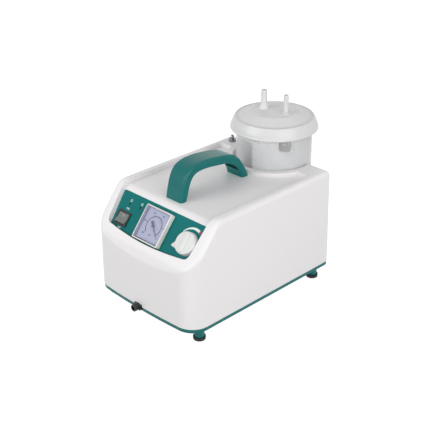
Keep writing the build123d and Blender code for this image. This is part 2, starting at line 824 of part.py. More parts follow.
# Regulator: knob, spindle, needle-valve body and its nut
knob_foot = panel_thickness + moving_gap
knob_top = knob_foot + knob_height
recess_under = -case_wall
with BuildPart() as regulator_knob:
    with BuildSketch(panel_at(knob_x, knob_s, knob_foot)):
        Circle(knob_base_radius)
    with BuildSketch(panel_at(knob_x, knob_s, knob_top)):
        Circle(knob_top_radius)
    loft()
    fillet(edges().filter_by(GeomType.CIRCLE).sort_by(Axis((0, 0, 0), out_slope))[-1], knob_wall / 2)
    with BuildSketch(panel_at(knob_x, knob_s, knob_foot, knob_tab_angle)):
        with BuildLine():
            Polyline(
                (knob_base_radius * 0.7, knob_base_radius * 0.5),
                (knob_tab_reach - knob_wall, knob_wall),
                (knob_tab_reach, 0),
                (knob_tab_reach - knob_wall, -knob_wall),
                (knob_base_radius * 0.7, -knob_base_radius * 0.5),
                (knob_base_radius * 0.7, knob_base_radius * 0.5),
            )
        make_face()
    extrude(amount=knob_height / 2)
    with BuildSketch(panel_at(knob_x, knob_s, knob_top - knob_wall)):
        SlotOverall(2 * knob_top_radius - knob_wall, knob_grip_width, rotation=90)
    extrude(amount=knob_wall + knob_grip_height)
    fillet(faces().sort_by(Axis((0, 0, 0), out_slope))[-1].edges(), knob_grip_height / 2)
    panel_post(knob_x, knob_s, knob_foot, knob_top - knob_wall, knob_top_radius - knob_wall, Mode.SUBTRACT)
    panel_post(
        knob_x, knob_s, knob_foot + nut_height + moving_gap, knob_top - knob_wall / 2, knob_boss_radius
    )
    panel_post(knob_x, knob_s, knob_foot, knob_top, spindle_radius, Mode.SUBTRACT)
regulator_knob.part.label = "regulator_knob"
export_step(regulator_knob.part, "parts/regulator_knob.step")

nut_seat = panel_thickness
valve_front = recess_under
valve_back = valve_front - valve_length
with BuildPart() as regulator_spindle:
    panel_post(knob_x, knob_s, valve_back + valve_length / 3, knob_top, spindle_radius)
    chamfer(edges().filter_by(GeomType.CIRCLE).sort_by(Axis((0, 0, 0), out_slope))[0], spindle_radius * 0.6)
regulator_spindle.part.label = "regulator_spindle"
export_step(regulator_spindle.part, "parts/regulator_spindle.step")

with BuildPart() as regulator_valve:
    panel_post(knob_x, knob_s, valve_back, valve_front, valve_radius)
    panel_post(knob_x, knob_s, valve_front, nut_seat + nut_height - moving_gap, bush_radius)
    panel_post(
        knob_x,
        knob_s,
        valve_back + valve_length / 4,
        knob_top,
        spindle_radius + running_gap,
        Mode.SUBTRACT,
    )
    panel_post(knob_x, knob_s, valve_back - barb_length, valve_back, barb_radius)
    panel_post(
        knob_x,
        knob_s,
        valve_back - barb_length,
        valve_back + valve_length,
        barb_radius / 2.5,
        Mode.SUBTRACT,
    )
regulator_valve.part.label = "regulator_valve"
export_step(regulator_valve.part, "parts/regulator_valve.step")

with BuildPart() as regulator_nut:
    with BuildSketch(panel_at(knob_x, knob_s, nut_seat)):
        RegularPolygon(nut_radius, 6)
        Circle(bush_radius + static_gap, mode=Mode.SUBTRACT)
    extrude(amount=nut_height - moving_gap)
regulator_nut.part.label = "regulator_nut"
export_step(regulator_nut.part, "parts/regulator_nut.step")

# Indicator lamps behind the panel
for name, x, s in (("power_lamp", power_lamp_x, power_lamp_s), ("mode_lamp", mode_lamp_x, mode_lamp_s)):
    with BuildPart() as lamp:
        panel_post(x, s, -case_wall - lamp_length, panel_thickness, lamp_radius)
        fillet(edges().filter_by(GeomType.CIRCLE).sort_by(Axis((0, 0, 0), out_slope))[-1], lamp_radius * 0.6)
        panel_post(x, s, -case_wall - lamp_length, -case_wall, lamp_flange)
    lamp.part.label = name
    export_step(lamp.part, "parts/" + name + ".step")

# Collection jar: a thin-walled body with a foot ring, rounded heel and rolled rim
jar_top = jar_bottom + jar_height
with BuildPart() as jar:
    with BuildSketch(Plane.XZ.offset(-jar_y)):
        with BuildLine():
            FilletPolyline(
                (0, jar_bottom + jar_foot_ring),
                (jar_radius * 0.8, jar_bottom + jar_foot_ring),
                (jar_radius * 0.84, jar_bottom),
                (jar_radius, jar_bottom),
                (jar_radius, jar_top - 2 * jar_rim_height),
                (jar_radius + jar_rim_reach, jar_top - jar_rim_height),
                (jar_radius + jar_rim_reach, jar_top),
                radius=jar_foot_ring / 2,
            )
            Polyline(
                (jar_radius + jar_rim_reach, jar_top),
                (jar_radius - jar_wall, jar_top),
                (jar_radius - jar_wall, jar_bottom + 2 * jar_heel),
            )
            FilletPolyline(
                (jar_radius - jar_wall, jar_bottom + 2 * jar_heel),
                (jar_radius - jar_wall, jar_bottom + jar_foot_ring + jar_wall),
                (0, jar_bottom + jar_foot_ring + jar_wall),
                radius=jar_heel / 2,
            )
            Line((0, jar_bottom + jar_foot_ring + jar_wall), (0, jar_bottom + jar_foot_ring))
        make_face()
    revolve(axis=Axis((0, jar_y, 0), (0, 0, 1)))
jar.part.label = "jar"
export_step(jar.part, "parts/jar.step")

# Gasket between the rim of the jar and the lid
gasket_top = jar_top + gasket_height
with BuildPart() as lid_gasket:
    post(0, jar_y, jar_top, gasket_top, jar_radius + jar_rim_reach)
    post(0, jar_y, jar_top, gasket_top, jar_radius - jar_wall, Mode.SUBTRACT)
lid_gasket.part.label = "lid_gasket"
export_step(lid_gasket.part, "parts/lid_gasket.step")

# Lid: bulging skirt that grips the rim, stepped shoulder, cone, and a flat disc with two ports
lid_inside = jar_radius + jar_rim_reach + static_gap
lid_disc_under = lid_disc_z - lid_wall
port_top = lid_disc_z + port_height
with BuildPart() as jar_lid:
    with BuildSketch(Plane.XZ.offset(-jar_y)):
        with BuildLine():
            lid_widest = (lid_radius, lid_wide_z)
            TangentArc(lid_widest, (lid_shoulder_radius, lid_shoulder_z), tangent=(0, 1))
            TangentArc(lid_widest, (lid_skirt_radius, lid_skirt_bottom), tangent=(0, -1))
            Polyline(
                (0, lid_disc_z),
                (lid_disc_radius, lid_disc_z),
                (lid_shoulder_radius - lid_step, lid_cone_foot),
                (lid_shoulder_radius - lid_step / 2, lid_shoulder_z),
                (lid_shoulder_radius, lid_shoulder_z),
            )
            Polyline(
                (lid_skirt_radius, lid_skirt_bottom),
                (lid_inside - lid_wall / 3, lid_skirt_bottom),
                (lid_inside, lid_skirt_bottom + lid_wall / 3),
                (lid_inside, gasket_top),
                (jar_radius - jar_wall, gasket_top),
                (lid_disc_radius, lid_disc_under),
                (0, lid_disc_under),
                (0, lid_disc_z),
            )
        make_face()
    revolve(axis=Axis((0, jar_y, 0), (0, 0, 1)))
    for x, y, radius in (
        (patient_port_x, patient_port_y, patient_port_radius),
        (vacuum_port_x, vacuum_port_y, vacuum_port_radius),
    ):
        post(x, jar_y + y, lid_disc_z, port_top - port_flare, radius)
        with Locations((x, jar_y + y, port_top - port_flare)):
            Cone(radius, radius - port_bore / 4, port_flare, align=centred)
    with Locations((patient_port_x, jar_y + patient_port_y, lid_disc_z)):
        Cone(port_foot, patient_port_radius, port_foot_height, align=centred)
    post(vacuum_port_x, jar_y + vacuum_port_y, lid_disc_z, lid_disc_z + port_collar_height, port_collar)
    post(
        patient_port_x,
        jar_y + patient_port_y,
        lid_disc_under - dip_length,
        lid_disc_under,
        patient_port_radius,
    )
    post(
        vacuum_port_x,
        jar_y + vacuum_port_y,
        lid_disc_under - cage_wall,
        lid_disc_under,
        cage_radius - cage_wall - static_gap,
    )
    for x, y in ((patient_port_x, patient_port_y), (vacuum_port_x, vacuum_port_y)):
        post(x, jar_y + y, lid_disc_under - dip_length, port_top, port_bore, Mode.SUBTRACT)
jar_lid.part.label = "jar_lid"
export_step(jar_lid.part, "parts/jar_lid.step")

# Overflow cage under the vacuum port, with the ball that floats up and shuts the port
cage_x = vacuum_port_x
cage_y = jar_y + vacuum_port_y
cage_bottom = lid_disc_under - cage_length
with BuildPart() as float_cage:
    post(cage_x, cage_y, cage_bottom, lid_disc_under, cage_radius)
    post(cage_x, cage_y, cage_bottom + cage_wall, lid_disc_under, cage_radius - cage_wall, Mode.SUBTRACT)
    with Locations((cage_x, cage_y, cage_bottom + cage_length / 2)):
        with PolarLocations(0, 3):
            Box(3 * cage_radius, cage_radius * 0.7, cage_length * 0.7, mode=Mode.SUBTRACT)
    post(cage_x, cage_y, cage_bottom, cage_bottom + cage_wall, port_bore, Mode.SUBTRACT)
float_cage.part.label = "float_cage"
export_step(float_cage.part, "parts/float_cage.step")

float_low = cage_bottom + cage_wall + float_radius + static_gap
with BuildPart() as float_ball:
    with Locations((cage_x, cage_y, float_low)):
        Sphere(float_radius)
float_ball.part.label = "float_ball"
export_step(float_ball.part, "parts/float_ball.step")

# Vacuum inlet on top of the case, its nut and its inner barb
nozzle_foot = dish_under - 2 * nut_height - barb_length / 2
nozzle_top = case_top + nozzle_height
with BuildPart() as vacuum_nozzle:
    post(nozzle_x, nozzle_y, case_top, case_top + nozzle_height / 3, nozzle_flange)
    post(nozzle_x, nozzle_y, case_top + nozzle_height / 3, nozzle_top - nozzle_tip, nozzle_radius)
    with Locations((nozzle_x, nozzle_y, nozzle_top - nozzle_tip)):
        Cone(nozzle_radius, nozzle_radius - 4 * seat_gap, nozzle_tip, align=centred)
    post(nozzle_x, nozzle_y, dish_under - 2 * nut_height, case_top, nozzle_thread_radius)
    post(nozzle_x, nozzle_y, nozzle_foot, dish_under - 2 * nut_height, barb_radius)
    post(nozzle_x, nozzle_y, nozzle_foot, case_top + nozzle_height, nozzle_bore, Mode.SUBTRACT)
vacuum_nozzle.part.label = "vacuum_nozzle"
export_step(vacuum_nozzle.part, "parts/vacuum_nozzle.step")

with BuildPart() as nozzle_nut:
    with BuildSketch(Plane.XY.offset(dish_under - nut_height)):
        with Locations((nozzle_x, nozzle_y)):
            RegularPolygon(nozzle_thread_radius * 1.9, 6)
            Circle(nozzle_thread_radius + static_gap, mode=Mode.SUBTRACT)
    extrude(amount=nut_height)
nozzle_nut.part.label = "nozzle_nut"
export_step(nozzle_nut.part, "parts/nozzle_nut.step")

# Foot-switch socket let into the front seam
socket_face = front_y - socket_reach
with BuildPart() as foot_switch_socket:
    with BuildSketch(Plane.XZ.offset(-(front_y + 2 * case_wall))):
        with Locations((socket_x, socket_z)):
            Rectangle(socket_block_width, socket_block_height)
    extrude(amount=2 * case_wall + socket_reach / 3)
    fillet(edges().filter_by(Axis.Y), socket_block_height / 6)
    with BuildSketch(Plane.XZ.offset(-(front_y + 2 * case_wall))):
        with Locations((socket_x, (tray_top + socket_top) / 2)):
            Rectangle(socket_block_width + 3 * case_wall, socket_top - tray_top - 2 * static_gap)
    extrude(amount=-case_wall)
    with BuildSketch(Plane.XZ.offset(-socket_face)):
        with Locations((socket_x, socket_z)):
            Circle(socket_nose_radius)
    extrude(amount=-socket_reach)
    fillet(edges().filter_by(GeomType.CIRCLE).sort_by(Axis.Y)[0], socket_nose_radius / 6)
    with BuildSketch(Plane.XZ.offset(-socket_face)):
        with Locations((socket_x, socket_z)):
            Circle(socket_bore)
    extrude(amount=-socket_depth, mode=Mode.SUBTRACT)
foot_switch_socket.part.label = "foot_switch_socket"
export_step(foot_switch_socket.part, "parts/foot_switch_socket.step")

# Mains inlet at the back, under the jar well
pin_root = rear_y + inlet_flange - inlet_cavity_depth


def inlet_pin_outlines(root, grow):
    """Sections of the three inlet pins on the plane across Y at root, each side larger by grow."""
    with BuildSketch(Plane.XZ.offset(-root)) as pins:
        for x, z in (
            (-inlet_pin_pitch, -inlet_pin_drop),
            (0, inlet_pin_drop),
            (inlet_pin_pitch, -inlet_pin_drop),
        ):
            with Locations((inlet_x + x, inlet_z + z)):
                Rectangle(inlet_pin_width + 2 * grow, inlet_pin_height + 2 * grow)
    return pins.sketch


with BuildPart() as mains_inlet:
    with BuildSketch(Plane.XZ.offset(-rear_y)):
        with Locations((inlet_x, inlet_z)):
            RectangleRounded(inlet_flange_width, inlet_flange_height, inlet_flange)
    extrude(amount=-inlet_flange)
    with BuildSketch(Plane.XZ.offset(-rear_y)):
        with Locations((inlet_x, inlet_z)):
            Rectangle(inlet_body_width, inlet_body_height)
    extrude(amount=inlet_depth - inlet_flange)
    with BuildSketch(Plane.XZ.offset(-(rear_y + inlet_flange))) as cavity:
        with Locations((inlet_x, inlet_z)):
            Rectangle(inlet_cavity_width, inlet_cavity_height)
            chamfer(cavity.vertices().group_by(Axis.Z)[-1], inlet_cavity_height / 4)
    extrude(amount=inlet_cavity_depth, mode=Mode.SUBTRACT)
    with BuildSketch(Plane.XZ.offset(-(rear_y + inlet_flange))):
        with Locations((inlet_x, inlet_z)):
            with GridLocations(inlet_screw_pitch, 0, 2, 1):
                Circle(screw_radius + static_gap)
    extrude(amount=inlet_flange, mode=Mode.SUBTRACT)
    extrude(inlet_pin_outlines(pin_root, static_gap), amount=inlet_depth, mode=Mode.SUBTRACT)
mains_inlet.part.label = "mains_inlet"
export_step(mains_inlet.part, "parts/mains_inlet.step")

# Three flat pins of the inlet, each with its tail behind
with BuildPart() as mains_pins:
    extrude(inlet_pin_outlines(pin_root, 0), amount=-(inlet_cavity_depth - inlet_flange))
    extrude(inlet_pin_outlines(pin_root, 0), amount=inlet_depth - inlet_cavity_depth + blade_length)
mains_pins.part.label = "mains_pins"
export_step(mains_pins.part, "parts/mains_pins.step")

with BuildPart() as inlet_screws:
    with BuildSketch(Plane.XZ.offset(-(rear_y + inlet_flange))) as heads:
        with Locations((inlet_x, inlet_z)):
            with GridLocations(inlet_screw_pitch, 0, 2, 1):
                Circle(screw_head_radius)
                Rectangle(2 * screw_head_radius, screw_radius / 3, mode=Mode.SUBTRACT)
                Rectangle(screw_radius / 3, 2 * screw_head_radius, mode=Mode.SUBTRACT)
    extrude(heads.sketch, amount=-screw_head_height)
    for side in (-1, 1):
        x = inlet_x + side * inlet_screw_pitch / 2
        bar(x, inlet_z, rear_y - 2 * case_wall, rear_y + inlet_flange, screw_radius - static_gap)
inlet_screws.part.label = "inlet_screws"
export_step(inlet_screws.part, "parts/inlet_screws.step")

# Fuse holder beside the inlet, with the cap that draws the fuse out
fuse_root = rear_y - fuse_holder_depth
fuse_bore = fuse_radius + 2 * static_gap
cap_plug = fuse_holder_radius - 1.5
cap_face = rear_y + inlet_flange
with BuildPart() as fuse_holder:
    bar(fuse_x, inlet_z, rear_y, cap_face, fuse_flange_radius)
    bar(fuse_x, inlet_z, fuse_root, rear_y, fuse_holder_radius)
    bar(fuse_x, inlet_z, rear_y - fuse_length / 2, cap_face, cap_plug + static_gap, Mode.SUBTRACT)
    bar(fuse_x, inlet_z, fuse_root + case_wall, cap_face, fuse_bore, Mode.SUBTRACT)
    with BuildSketch(Plane.XZ.offset(-fuse_root)):
        with Locations((fuse_x, inlet_z)):
            Rectangle(blade_width, blade_thickness)
    extrude(amount=blade_length)
fuse_holder.part.label = "fuse_holder"
export_step(fuse_holder.part, "parts/fuse_holder.step")

with BuildPart() as fuse_cap:
    bar(fuse_x, inlet_z, cap_face, cap_face + fuse_cap_height, fuse_cap_radius)
    fillet(edges().filter_by(GeomType.CIRCLE).sort_by(Axis.Y)[-1], fuse_cap_height / 6)
    with BuildSketch(Plane.XZ.offset(-(cap_face + fuse_cap_height))):
        with Locations((fuse_x, inlet_z)):
            with PolarLocations(fuse_cap_radius + 0.2, 16):
                Circle(0.7)
            Rectangle(fuse_cap_radius * 1.4, screw_radius / 2)
    extrude(amount=fuse_cap_height * 0.3, mode=Mode.SUBTRACT)
    bar(fuse_x, inlet_z, rear_y - fuse_length / 2 + static_gap, cap_face, cap_plug)
    bar(fuse_x, inlet_z, rear_y - fuse_length / 2, cap_face, fuse_bore, Mode.SUBTRACT)
fuse_cap.part.label = "fuse_cap"
export_step(fuse_cap.part, "parts/fuse_cap.step")

fuse_end = cap_face - seat_gap
with BuildPart() as fuse:
    bar(fuse_x, inlet_z, fuse_end - fuse_length, fuse_end, fuse_radius - static_gap)
    for start in (fuse_end - fuse_length, fuse_end - fuse_length / 4):
        bar(fuse_x, inlet_z, start, start + fuse_length / 4, fuse_radius)
fuse.part.label = "fuse"
export_step(fuse.part, "parts/fuse.step")

# Chassis plate that carries motor and pump, on four rubber mounts
crank_y = jar_y - well_radius - case_wall - pump_clearance - head_length / 2
bell_back = crank_y - pump_gap
stator_back = bell_back - bell_depth
stator_front = stator_back - stator_length
bell_front = stator_front - bell_depth
chassis_low = tray_top + mount_height
chassis_top = chassis_low + chassis_thickness
axis_z = chassis_top + axis_height
chassis_front = bell_front - mount_radius
chassis_back = crank_y + head_length / 2
mount_places = [
    (side * (chassis_width / 2 - mount_radius - chassis_thickness), y)
    for side in (-1, 1)
    for y in (chassis_front + mount_radius, chassis_back - mount_radius)
]
with BuildPart() as pump_chassis:
    with BuildSketch(Plane.XZ.offset(-chassis_front)):
        with BuildLine():
            half = chassis_width / 2
            inner = half - chassis_thickness
            Polyline(
                (-half, chassis_top - chassis_flange),
                (-half, chassis_top),
                (half, chassis_top),
                (half, chassis_top - chassis_flange),
                (inner, chassis_top - chassis_flange),
                (inner, chassis_low),
                (-inner, chassis_low),
                (-inner, chassis_top - chassis_flange),
                (-half, chassis_top - chassis_flange),
            )
        make_face()
    extrude(amount=chassis_front - chassis_back)
    for x, y in mount_places:
        post(x, y, chassis_low, chassis_top, mount_radius / 2, Mode.SUBTRACT)
pump_chassis.part.label = "pump_chassis"
export_step(pump_chassis.part, "parts/pump_chassis.step")

with BuildPart() as rubber_mounts:
    for x, y in mount_places:
        post(x, y, tray_top, chassis_low, mount_radius)
        post(x, y, chassis_low, chassis_top, mount_radius / 2 - static_gap)
        post(x, y, chassis_top, chassis_top + chassis_thickness, mount_radius * 0.7)
rubber_mounts.part.label = "rubber_mounts"
export_step(rubber_mounts.part, "parts/rubber_mounts.step")

# Motor: laminated stator with salient poles, their coils, and two end bells with bearings
yoke_bore = stator_radius - (stator_radius - stator_bore) / 2
pole_width = stator_bore * 0.6
bolt_turn = 45
with BuildPart() as motor_stator:
    with BuildSketch(Plane.XZ.offset(-stator_front)):
        with Locations((motor_x, axis_z)):
            Circle(stator_radius)
            Circle(yoke_bore, mode=Mode.SUBTRACT)
            with PolarLocations((stator_bore + yoke_bore) / 2, pole_count):
                Rectangle(yoke_bore - stator_bore + 2, pole_width)
            Circle(stator_bore, mode=Mode.SUBTRACT)
            with PolarLocations(motor_bolt_circle, 4, start_angle=bolt_turn):
                Circle(motor_bolt_radius + static_gap, mode=Mode.SUBTRACT)
    extrude(amount=-stator_length)
motor_stator.part.label = "motor_stator"
export_step(motor_stator.part, "parts/motor_stator.step")

coil_width = pole_width + 2 * static_gap + coil_thickness
with BuildPart() as stator_coils:
    with BuildSketch(Plane.XZ.offset(coil_overhang - stator_front)) as coil_area:
        with Locations((motor_x, axis_z)):
            with PolarLocations((stator_bore + yoke_bore) / 2 - static_gap, pole_count):
                Rectangle(yoke_bore - stator_bore - coil_thickness / 1.2, coil_width)
    extrude(amount=-(stator_length + 2 * coil_overhang))
    with BuildSketch(Plane.XZ.offset(static_gap - stator_front)) as pole_area:
        with Locations((motor_x, axis_z)):
            with PolarLocations((stator_bore + yoke_bore) / 2, pole_count):
                Rectangle(yoke_bore, pole_width + 2 * static_gap)
    extrude(amount=-(stator_length + 2 * static_gap), mode=Mode.SUBTRACT)
stator_coils.part.label = "stator_coils"
export_step(stator_coils.part, "parts/stator_coils.step")


def motor_bell(inner_end, outer_end):
    """One end bell: a windowed cup with a bearing seat and feet down to the chassis."""
    side = 1 if outer_end > inner_end else -1
    bar(motor_x, axis_z, inner_end, outer_end, stator_radius)
    for foot in (-1, 1):
        with Locations((motor_x + foot * stator_radius * 0.55, (inner_end + outer_end) / 2, chassis_top)):
            Box(bell_depth, bell_depth, axis_height - stator_radius * 0.7, align=centred)
    bar(motor_x, axis_z, inner_end, outer_end - side * bell_wall, stator_radius - bell_wall, Mode.SUBTRACT)
    bar(motor_x, axis_z, outer_end - side * (bearing_width + 1), outer_end, bearing_radius + bell_wall)
    with BuildSketch(Plane.XZ.offset(-inner_end)) as lugs:
        with Locations((motor_x, axis_z)):
            with PolarLocations(motor_bolt_circle, 4, start_angle=bolt_turn):
                Circle(motor_bolt_lug)
    extrude(lugs.sketch, amount=inner_end - outer_end)
    with BuildSketch(Plane.XZ.offset(-inner_end)) as holes:
        with Locations((motor_x, axis_z)):
            with PolarLocations(motor_bolt_circle, 4, start_angle=bolt_turn):
                Circle(motor_bolt_radius + static_gap)
            with PolarLocations((stator_radius + bearing_radius) / 2, 4):
                SlotOverall(bell_window_width, bell_window_width / 2, rotation=90)
            Circle(shaft_radius + 5 * static_gap)
    extrude(holes.sketch, amount=inner_end - outer_end, mode=Mode.SUBTRACT)
    bearing_seat = outer_end - side * bearing_width
    bar(
        motor_x,
        axis_z,
        inner_end,
        bearing_seat + side * (bearing_width - 1),
        bearing_radius + static_gap,
        Mode.SUBTRACT,
    )


with BuildPart() as motor_bells:
    motor_bell(stator_front, bell_front)
    motor_bell(stator_back, bell_back)
motor_bells.part.label = "motor_bells"
export_step(motor_bells.part, "parts/motor_bells.step")

bolt_places = [
    (motor_bolt_circle * cos(radians(bolt_turn + 90 * n)), motor_bolt_circle * sin(radians(bolt_turn + 90 * n)))
    for n in range(4)
]
with BuildPart() as motor_bolts:
    for x, z in bolt_places:
        bar(motor_x + x, axis_z + z, bell_front, bell_back, motor_bolt_radius)
        bar(motor_x + x, axis_z + z, bell_front - 2 * motor_bolt_radius, bell_front, 2 * motor_bolt_radius)
motor_bolts.part.label = "motor_bolts"
export_step(motor_bolts.part, "parts/motor_bolts.step")

bearing_fronts = (bell_front + 1 + static_gap, bell_back - 1 - static_gap - bearing_width)
with BuildPart() as motor_bearings:
    for start in bearing_fronts:
        bar(motor_x, axis_z, start, start + bearing_width, bearing_radius)
        bar(motor_x, axis_z, start, start + bearing_width, shaft_radius + running_gap, Mode.SUBTRACT)
motor_bearings.part.label = "motor_bearings"
export_step(motor_bearings.part, "parts/motor_bearings.step")

# What the motor turns: shaft, rotor core, cooling fan and eccentric
shaft_front = bell_front - fan_width - 2 * mount_radius / 3
eccentric_front = crank_y - rod_bearing_width - 1
eccentric_back = eccentric_front + eccentric_width
with BuildPart() as motor_shaft:
    bar(motor_x, axis_z, shaft_front, eccentric_back, shaft_radius)
    chamfer(edges().filter_by(GeomType.CIRCLE), shaft_radius / 6)
motor_shaft.part.label = "motor_shaft"
export_step(motor_shaft.part, "parts/motor_shaft.step")

with BuildPart() as rotor_core:
    bar(motor_x, axis_z, stator_front, stator_back, stator_bore - air_gap)
    for start in (stator_front - coil_overhang / 2, stator_back):
        bar(motor_x, axis_z, start, start + coil_overhang / 2, stator_bore - 2 * bell_wall / 3)
    bar(
        motor_x,
        axis_z,
        stator_front - bell_depth,
        stator_back + bell_depth,
        shaft_radius + static_gap,
        Mode.SUBTRACT,
    )
rotor_core.part.label = "rotor_core"
export_step(rotor_core.part, "parts/rotor_core.step")

fan_back = bell_front - 2 * motor_bolt_radius - 1
with BuildPart() as cooling_fan:
    bar(motor_x, axis_z, fan_back - 1.5, fan_back, fan_radius)
    bar(motor_x, axis_z, fan_back - fan_width + 1, fan_back, 2 * shaft_radius)
    with BuildSketch(Plane.XZ.offset(1.5 - fan_back)):
        with Locations((motor_x, axis_z)):
            with PolarLocations((fan_radius + shaft_radius) / 2, fan_blades):
                Rectangle(fan_radius - shaft_radius - 1, 1.5)
    extrude(amount=fan_width - 2.5)
    bar(motor_x, axis_z, fan_back - fan_width, fan_back, shaft_radius + static_gap, Mode.SUBTRACT)
cooling_fan.part.label = "cooling_fan"
export_step(cooling_fan.part, "parts/cooling_fan.step")

weight_radius = rod_bearing_radius + 1
crank_z = axis_z + crank_throw
with BuildPart() as eccentric:
    bar(motor_x, crank_z, eccentric_front, eccentric_back, eccentric_radius)
    with BuildSketch(Plane.XZ.offset(-eccentric_front)):
        with Locations((motor_x, axis_z)):
            Circle(weight_radius)
            with Locations((0, weight_radius)):
                Rectangle(2 * weight_radius, 2 * weight_radius, mode=Mode.SUBTRACT)
    extrude(amount=-2.5)
    bar(motor_x, axis_z, eccentric_front, eccentric_back, shaft_radius + static_gap, Mode.SUBTRACT)
eccentric.part.label = "eccentric"
export_step(eccentric.part, "parts/eccentric.step")

# Connecting rod on its bearing, from the eccentric up to the middle of the diaphragm
diaphragm_low = crank_z + rod_length
diaphragm_top = diaphragm_low + diaphragm_thickness
bearing_front = crank_y - rod_bearing_width / 2
with BuildPart() as rod_bearing:
    bar(motor_x, crank_z, bearing_front, bearing_front + rod_bearing_width, rod_bearing_radius)
    bar(
        motor_x,
        crank_z,
        bearing_front,
        bearing_front + rod_bearing_width,
        eccentric_radius + running_gap,
        Mode.SUBTRACT,
    )
rod_bearing.part.label = "rod_bearing"
export_step(rod_bearing.part, "parts/rod_bearing.step")

rod_front = crank_y - rod_width / 2
ring_radius = rod_bearing_radius + rod_ring_wall
with BuildPart() as connecting_rod:
    bar(motor_x, crank_z, rod_front, rod_front + rod_width, ring_radius)
    with Locations((motor_x, crank_y, crank_z + ring_radius - 1)):
        Box(2 * rod_width, rod_width, rod_length - ring_radius - clamp_height + 1, align=centred)
    post(motor_x, crank_y, diaphragm_low - clamp_height, diaphragm_low, clamp_radius)
    bar(motor_x, crank_z, rod_front, rod_front + rod_width, rod_bearing_radius + static_gap, Mode.SUBTRACT)
    post(motor_x, crank_y, diaphragm_low - 4 * clamp_height, diaphragm_low, screw_radius, Mode.SUBTRACT)
connecting_rod.part.label = "connecting_rod"
export_step(connecting_rod.part, "parts/connecting_rod.step")

with BuildPart() as diaphragm_clamp:
    post(motor_x, crank_y, diaphragm_top, diaphragm_top + clamp_height, clamp_radius)
    chamfer(edges().filter_by(GeomType.CIRCLE).group_by(Axis.Z)[-1], clamp_height / 2)
    post(motor_x, crank_y, diaphragm_low - 3 * clamp_height, diaphragm_top, screw_radius - static_gap)
diaphragm_clamp.part.label = "diaphragm_clamp"
export_step(diaphragm_clamp.part, "parts/diaphragm_clamp.step")

with BuildPart() as diaphragm:
    post(motor_x, crank_y, diaphragm_low, diaphragm_top, diaphragm_radius + pump_wall)
    post(motor_x, crank_y, diaphragm_low, diaphragm_top, screw_radius, Mode.SUBTRACT)
diaphragm.part.label = "diaphragm"
export_step(diaphragm.part, "parts/diaphragm.step")

# Pump body on the rear bell: crankcase walls below and the seat of the diaphragm above
throat = clamp_radius + crank_throw + 1
case_side = ring_radius + crank_throw + 1
deck_low = diaphragm_low - clamp_height - 2 * crank_throw - 1
deck_seat = diaphragm_low
screw_spread_x = head_width - 2 * pump_wall
screw_spread_y = head_length - 2 * pump_wall
with BuildPart() as pump_body:
    with Locations((motor_x, crank_y, deck_low)):
        Box(head_width, head_length, deck_seat - deck_low, align=centred)
    with Locations((motor_x, (bell_back + eccentric_back + pump_wall + 1) / 2, chassis_top)):
        Box(
            2 * (case_side + pump_wall),
            eccentric_back + pump_wall + 1 - bell_back,
            deck_seat - chassis_top,
            align=centred,
        )
    with Locations((motor_x, (bell_back + eccentric_back + 1) / 2, chassis_top)):
        Box(
            2 * case_side,
            eccentric_back + 1 - bell_back,
            deck_low - chassis_top,
            align=centred,
            mode=Mode.SUBTRACT,
        )
    post(motor_x, crank_y, deck_low, deck_seat, throat, Mode.SUBTRACT)
    with BuildSketch(Plane.XY.offset(deck_low)):
        with Locations((motor_x, crank_y)):
            with GridLocations(screw_spread_x, screw_spread_y, 2, 2):
                Circle(screw_radius)
    extrude(amount=deck_seat - deck_low, mode=Mode.SUBTRACT)
pump_body.part.label = "pump_body"
export_step(pump_body.part, "parts/pump_body.step")

# Valve plate with its reeds, and the cover with one chamber for suction and one for exhaust
plate_low = diaphragm_top
plate_top = plate_low + valve_plate_height
room_radius = throat + 1
room_height = clamp_height + 1
valve_hole = port_bore
valve_spread = head_width / 4
with BuildPart() as valve_plate:
    with Locations((motor_x, crank_y, plate_low)):
        Box(head_width, head_length, valve_plate_height + room_height, align=centred)
    post(motor_x, crank_y, plate_low, plate_low + room_height, room_radius, Mode.SUBTRACT)
    for side in (-1, 1):
        x = motor_x + side * valve_spread / 2
        post(x, crank_y, plate_low, plate_top + room_height, valve_hole, Mode.SUBTRACT)
    with BuildSketch(Plane.XY.offset(plate_low)):
        with Locations((motor_x, crank_y)):
            with GridLocations(screw_spread_x, screw_spread_y, 2, 2):
                Circle(screw_radius + static_gap)
    extrude(amount=valve_plate_height + room_height, mode=Mode.SUBTRACT)
valve_plate.part.label = "valve_plate"
export_step(valve_plate.part, "parts/valve_plate.step")

cover_low = plate_top + room_height
cover_top = cover_low + cover_height
with BuildPart() as reed_valves:
    with BuildSketch(Plane.XY.offset(cover_low)):
        with Locations((motor_x + valve_spread / 2, crank_y + valve_spread / 4)):
            SlotOverall(valve_spread * 1.5, 3 * valve_hole, rotation=90)
    extrude(amount=reed_thickness)
    with BuildSketch(Plane.XY.offset(plate_low + room_height - reed_thickness)):
        with Locations((motor_x - valve_spread / 2, crank_y)):
            SlotOverall(valve_spread, 3 * valve_hole, rotation=90)
    extrude(amount=reed_thickness)
reed_valves.part.label = "reed_valves"
export_step(reed_valves.part, "parts/reed_valves.step")

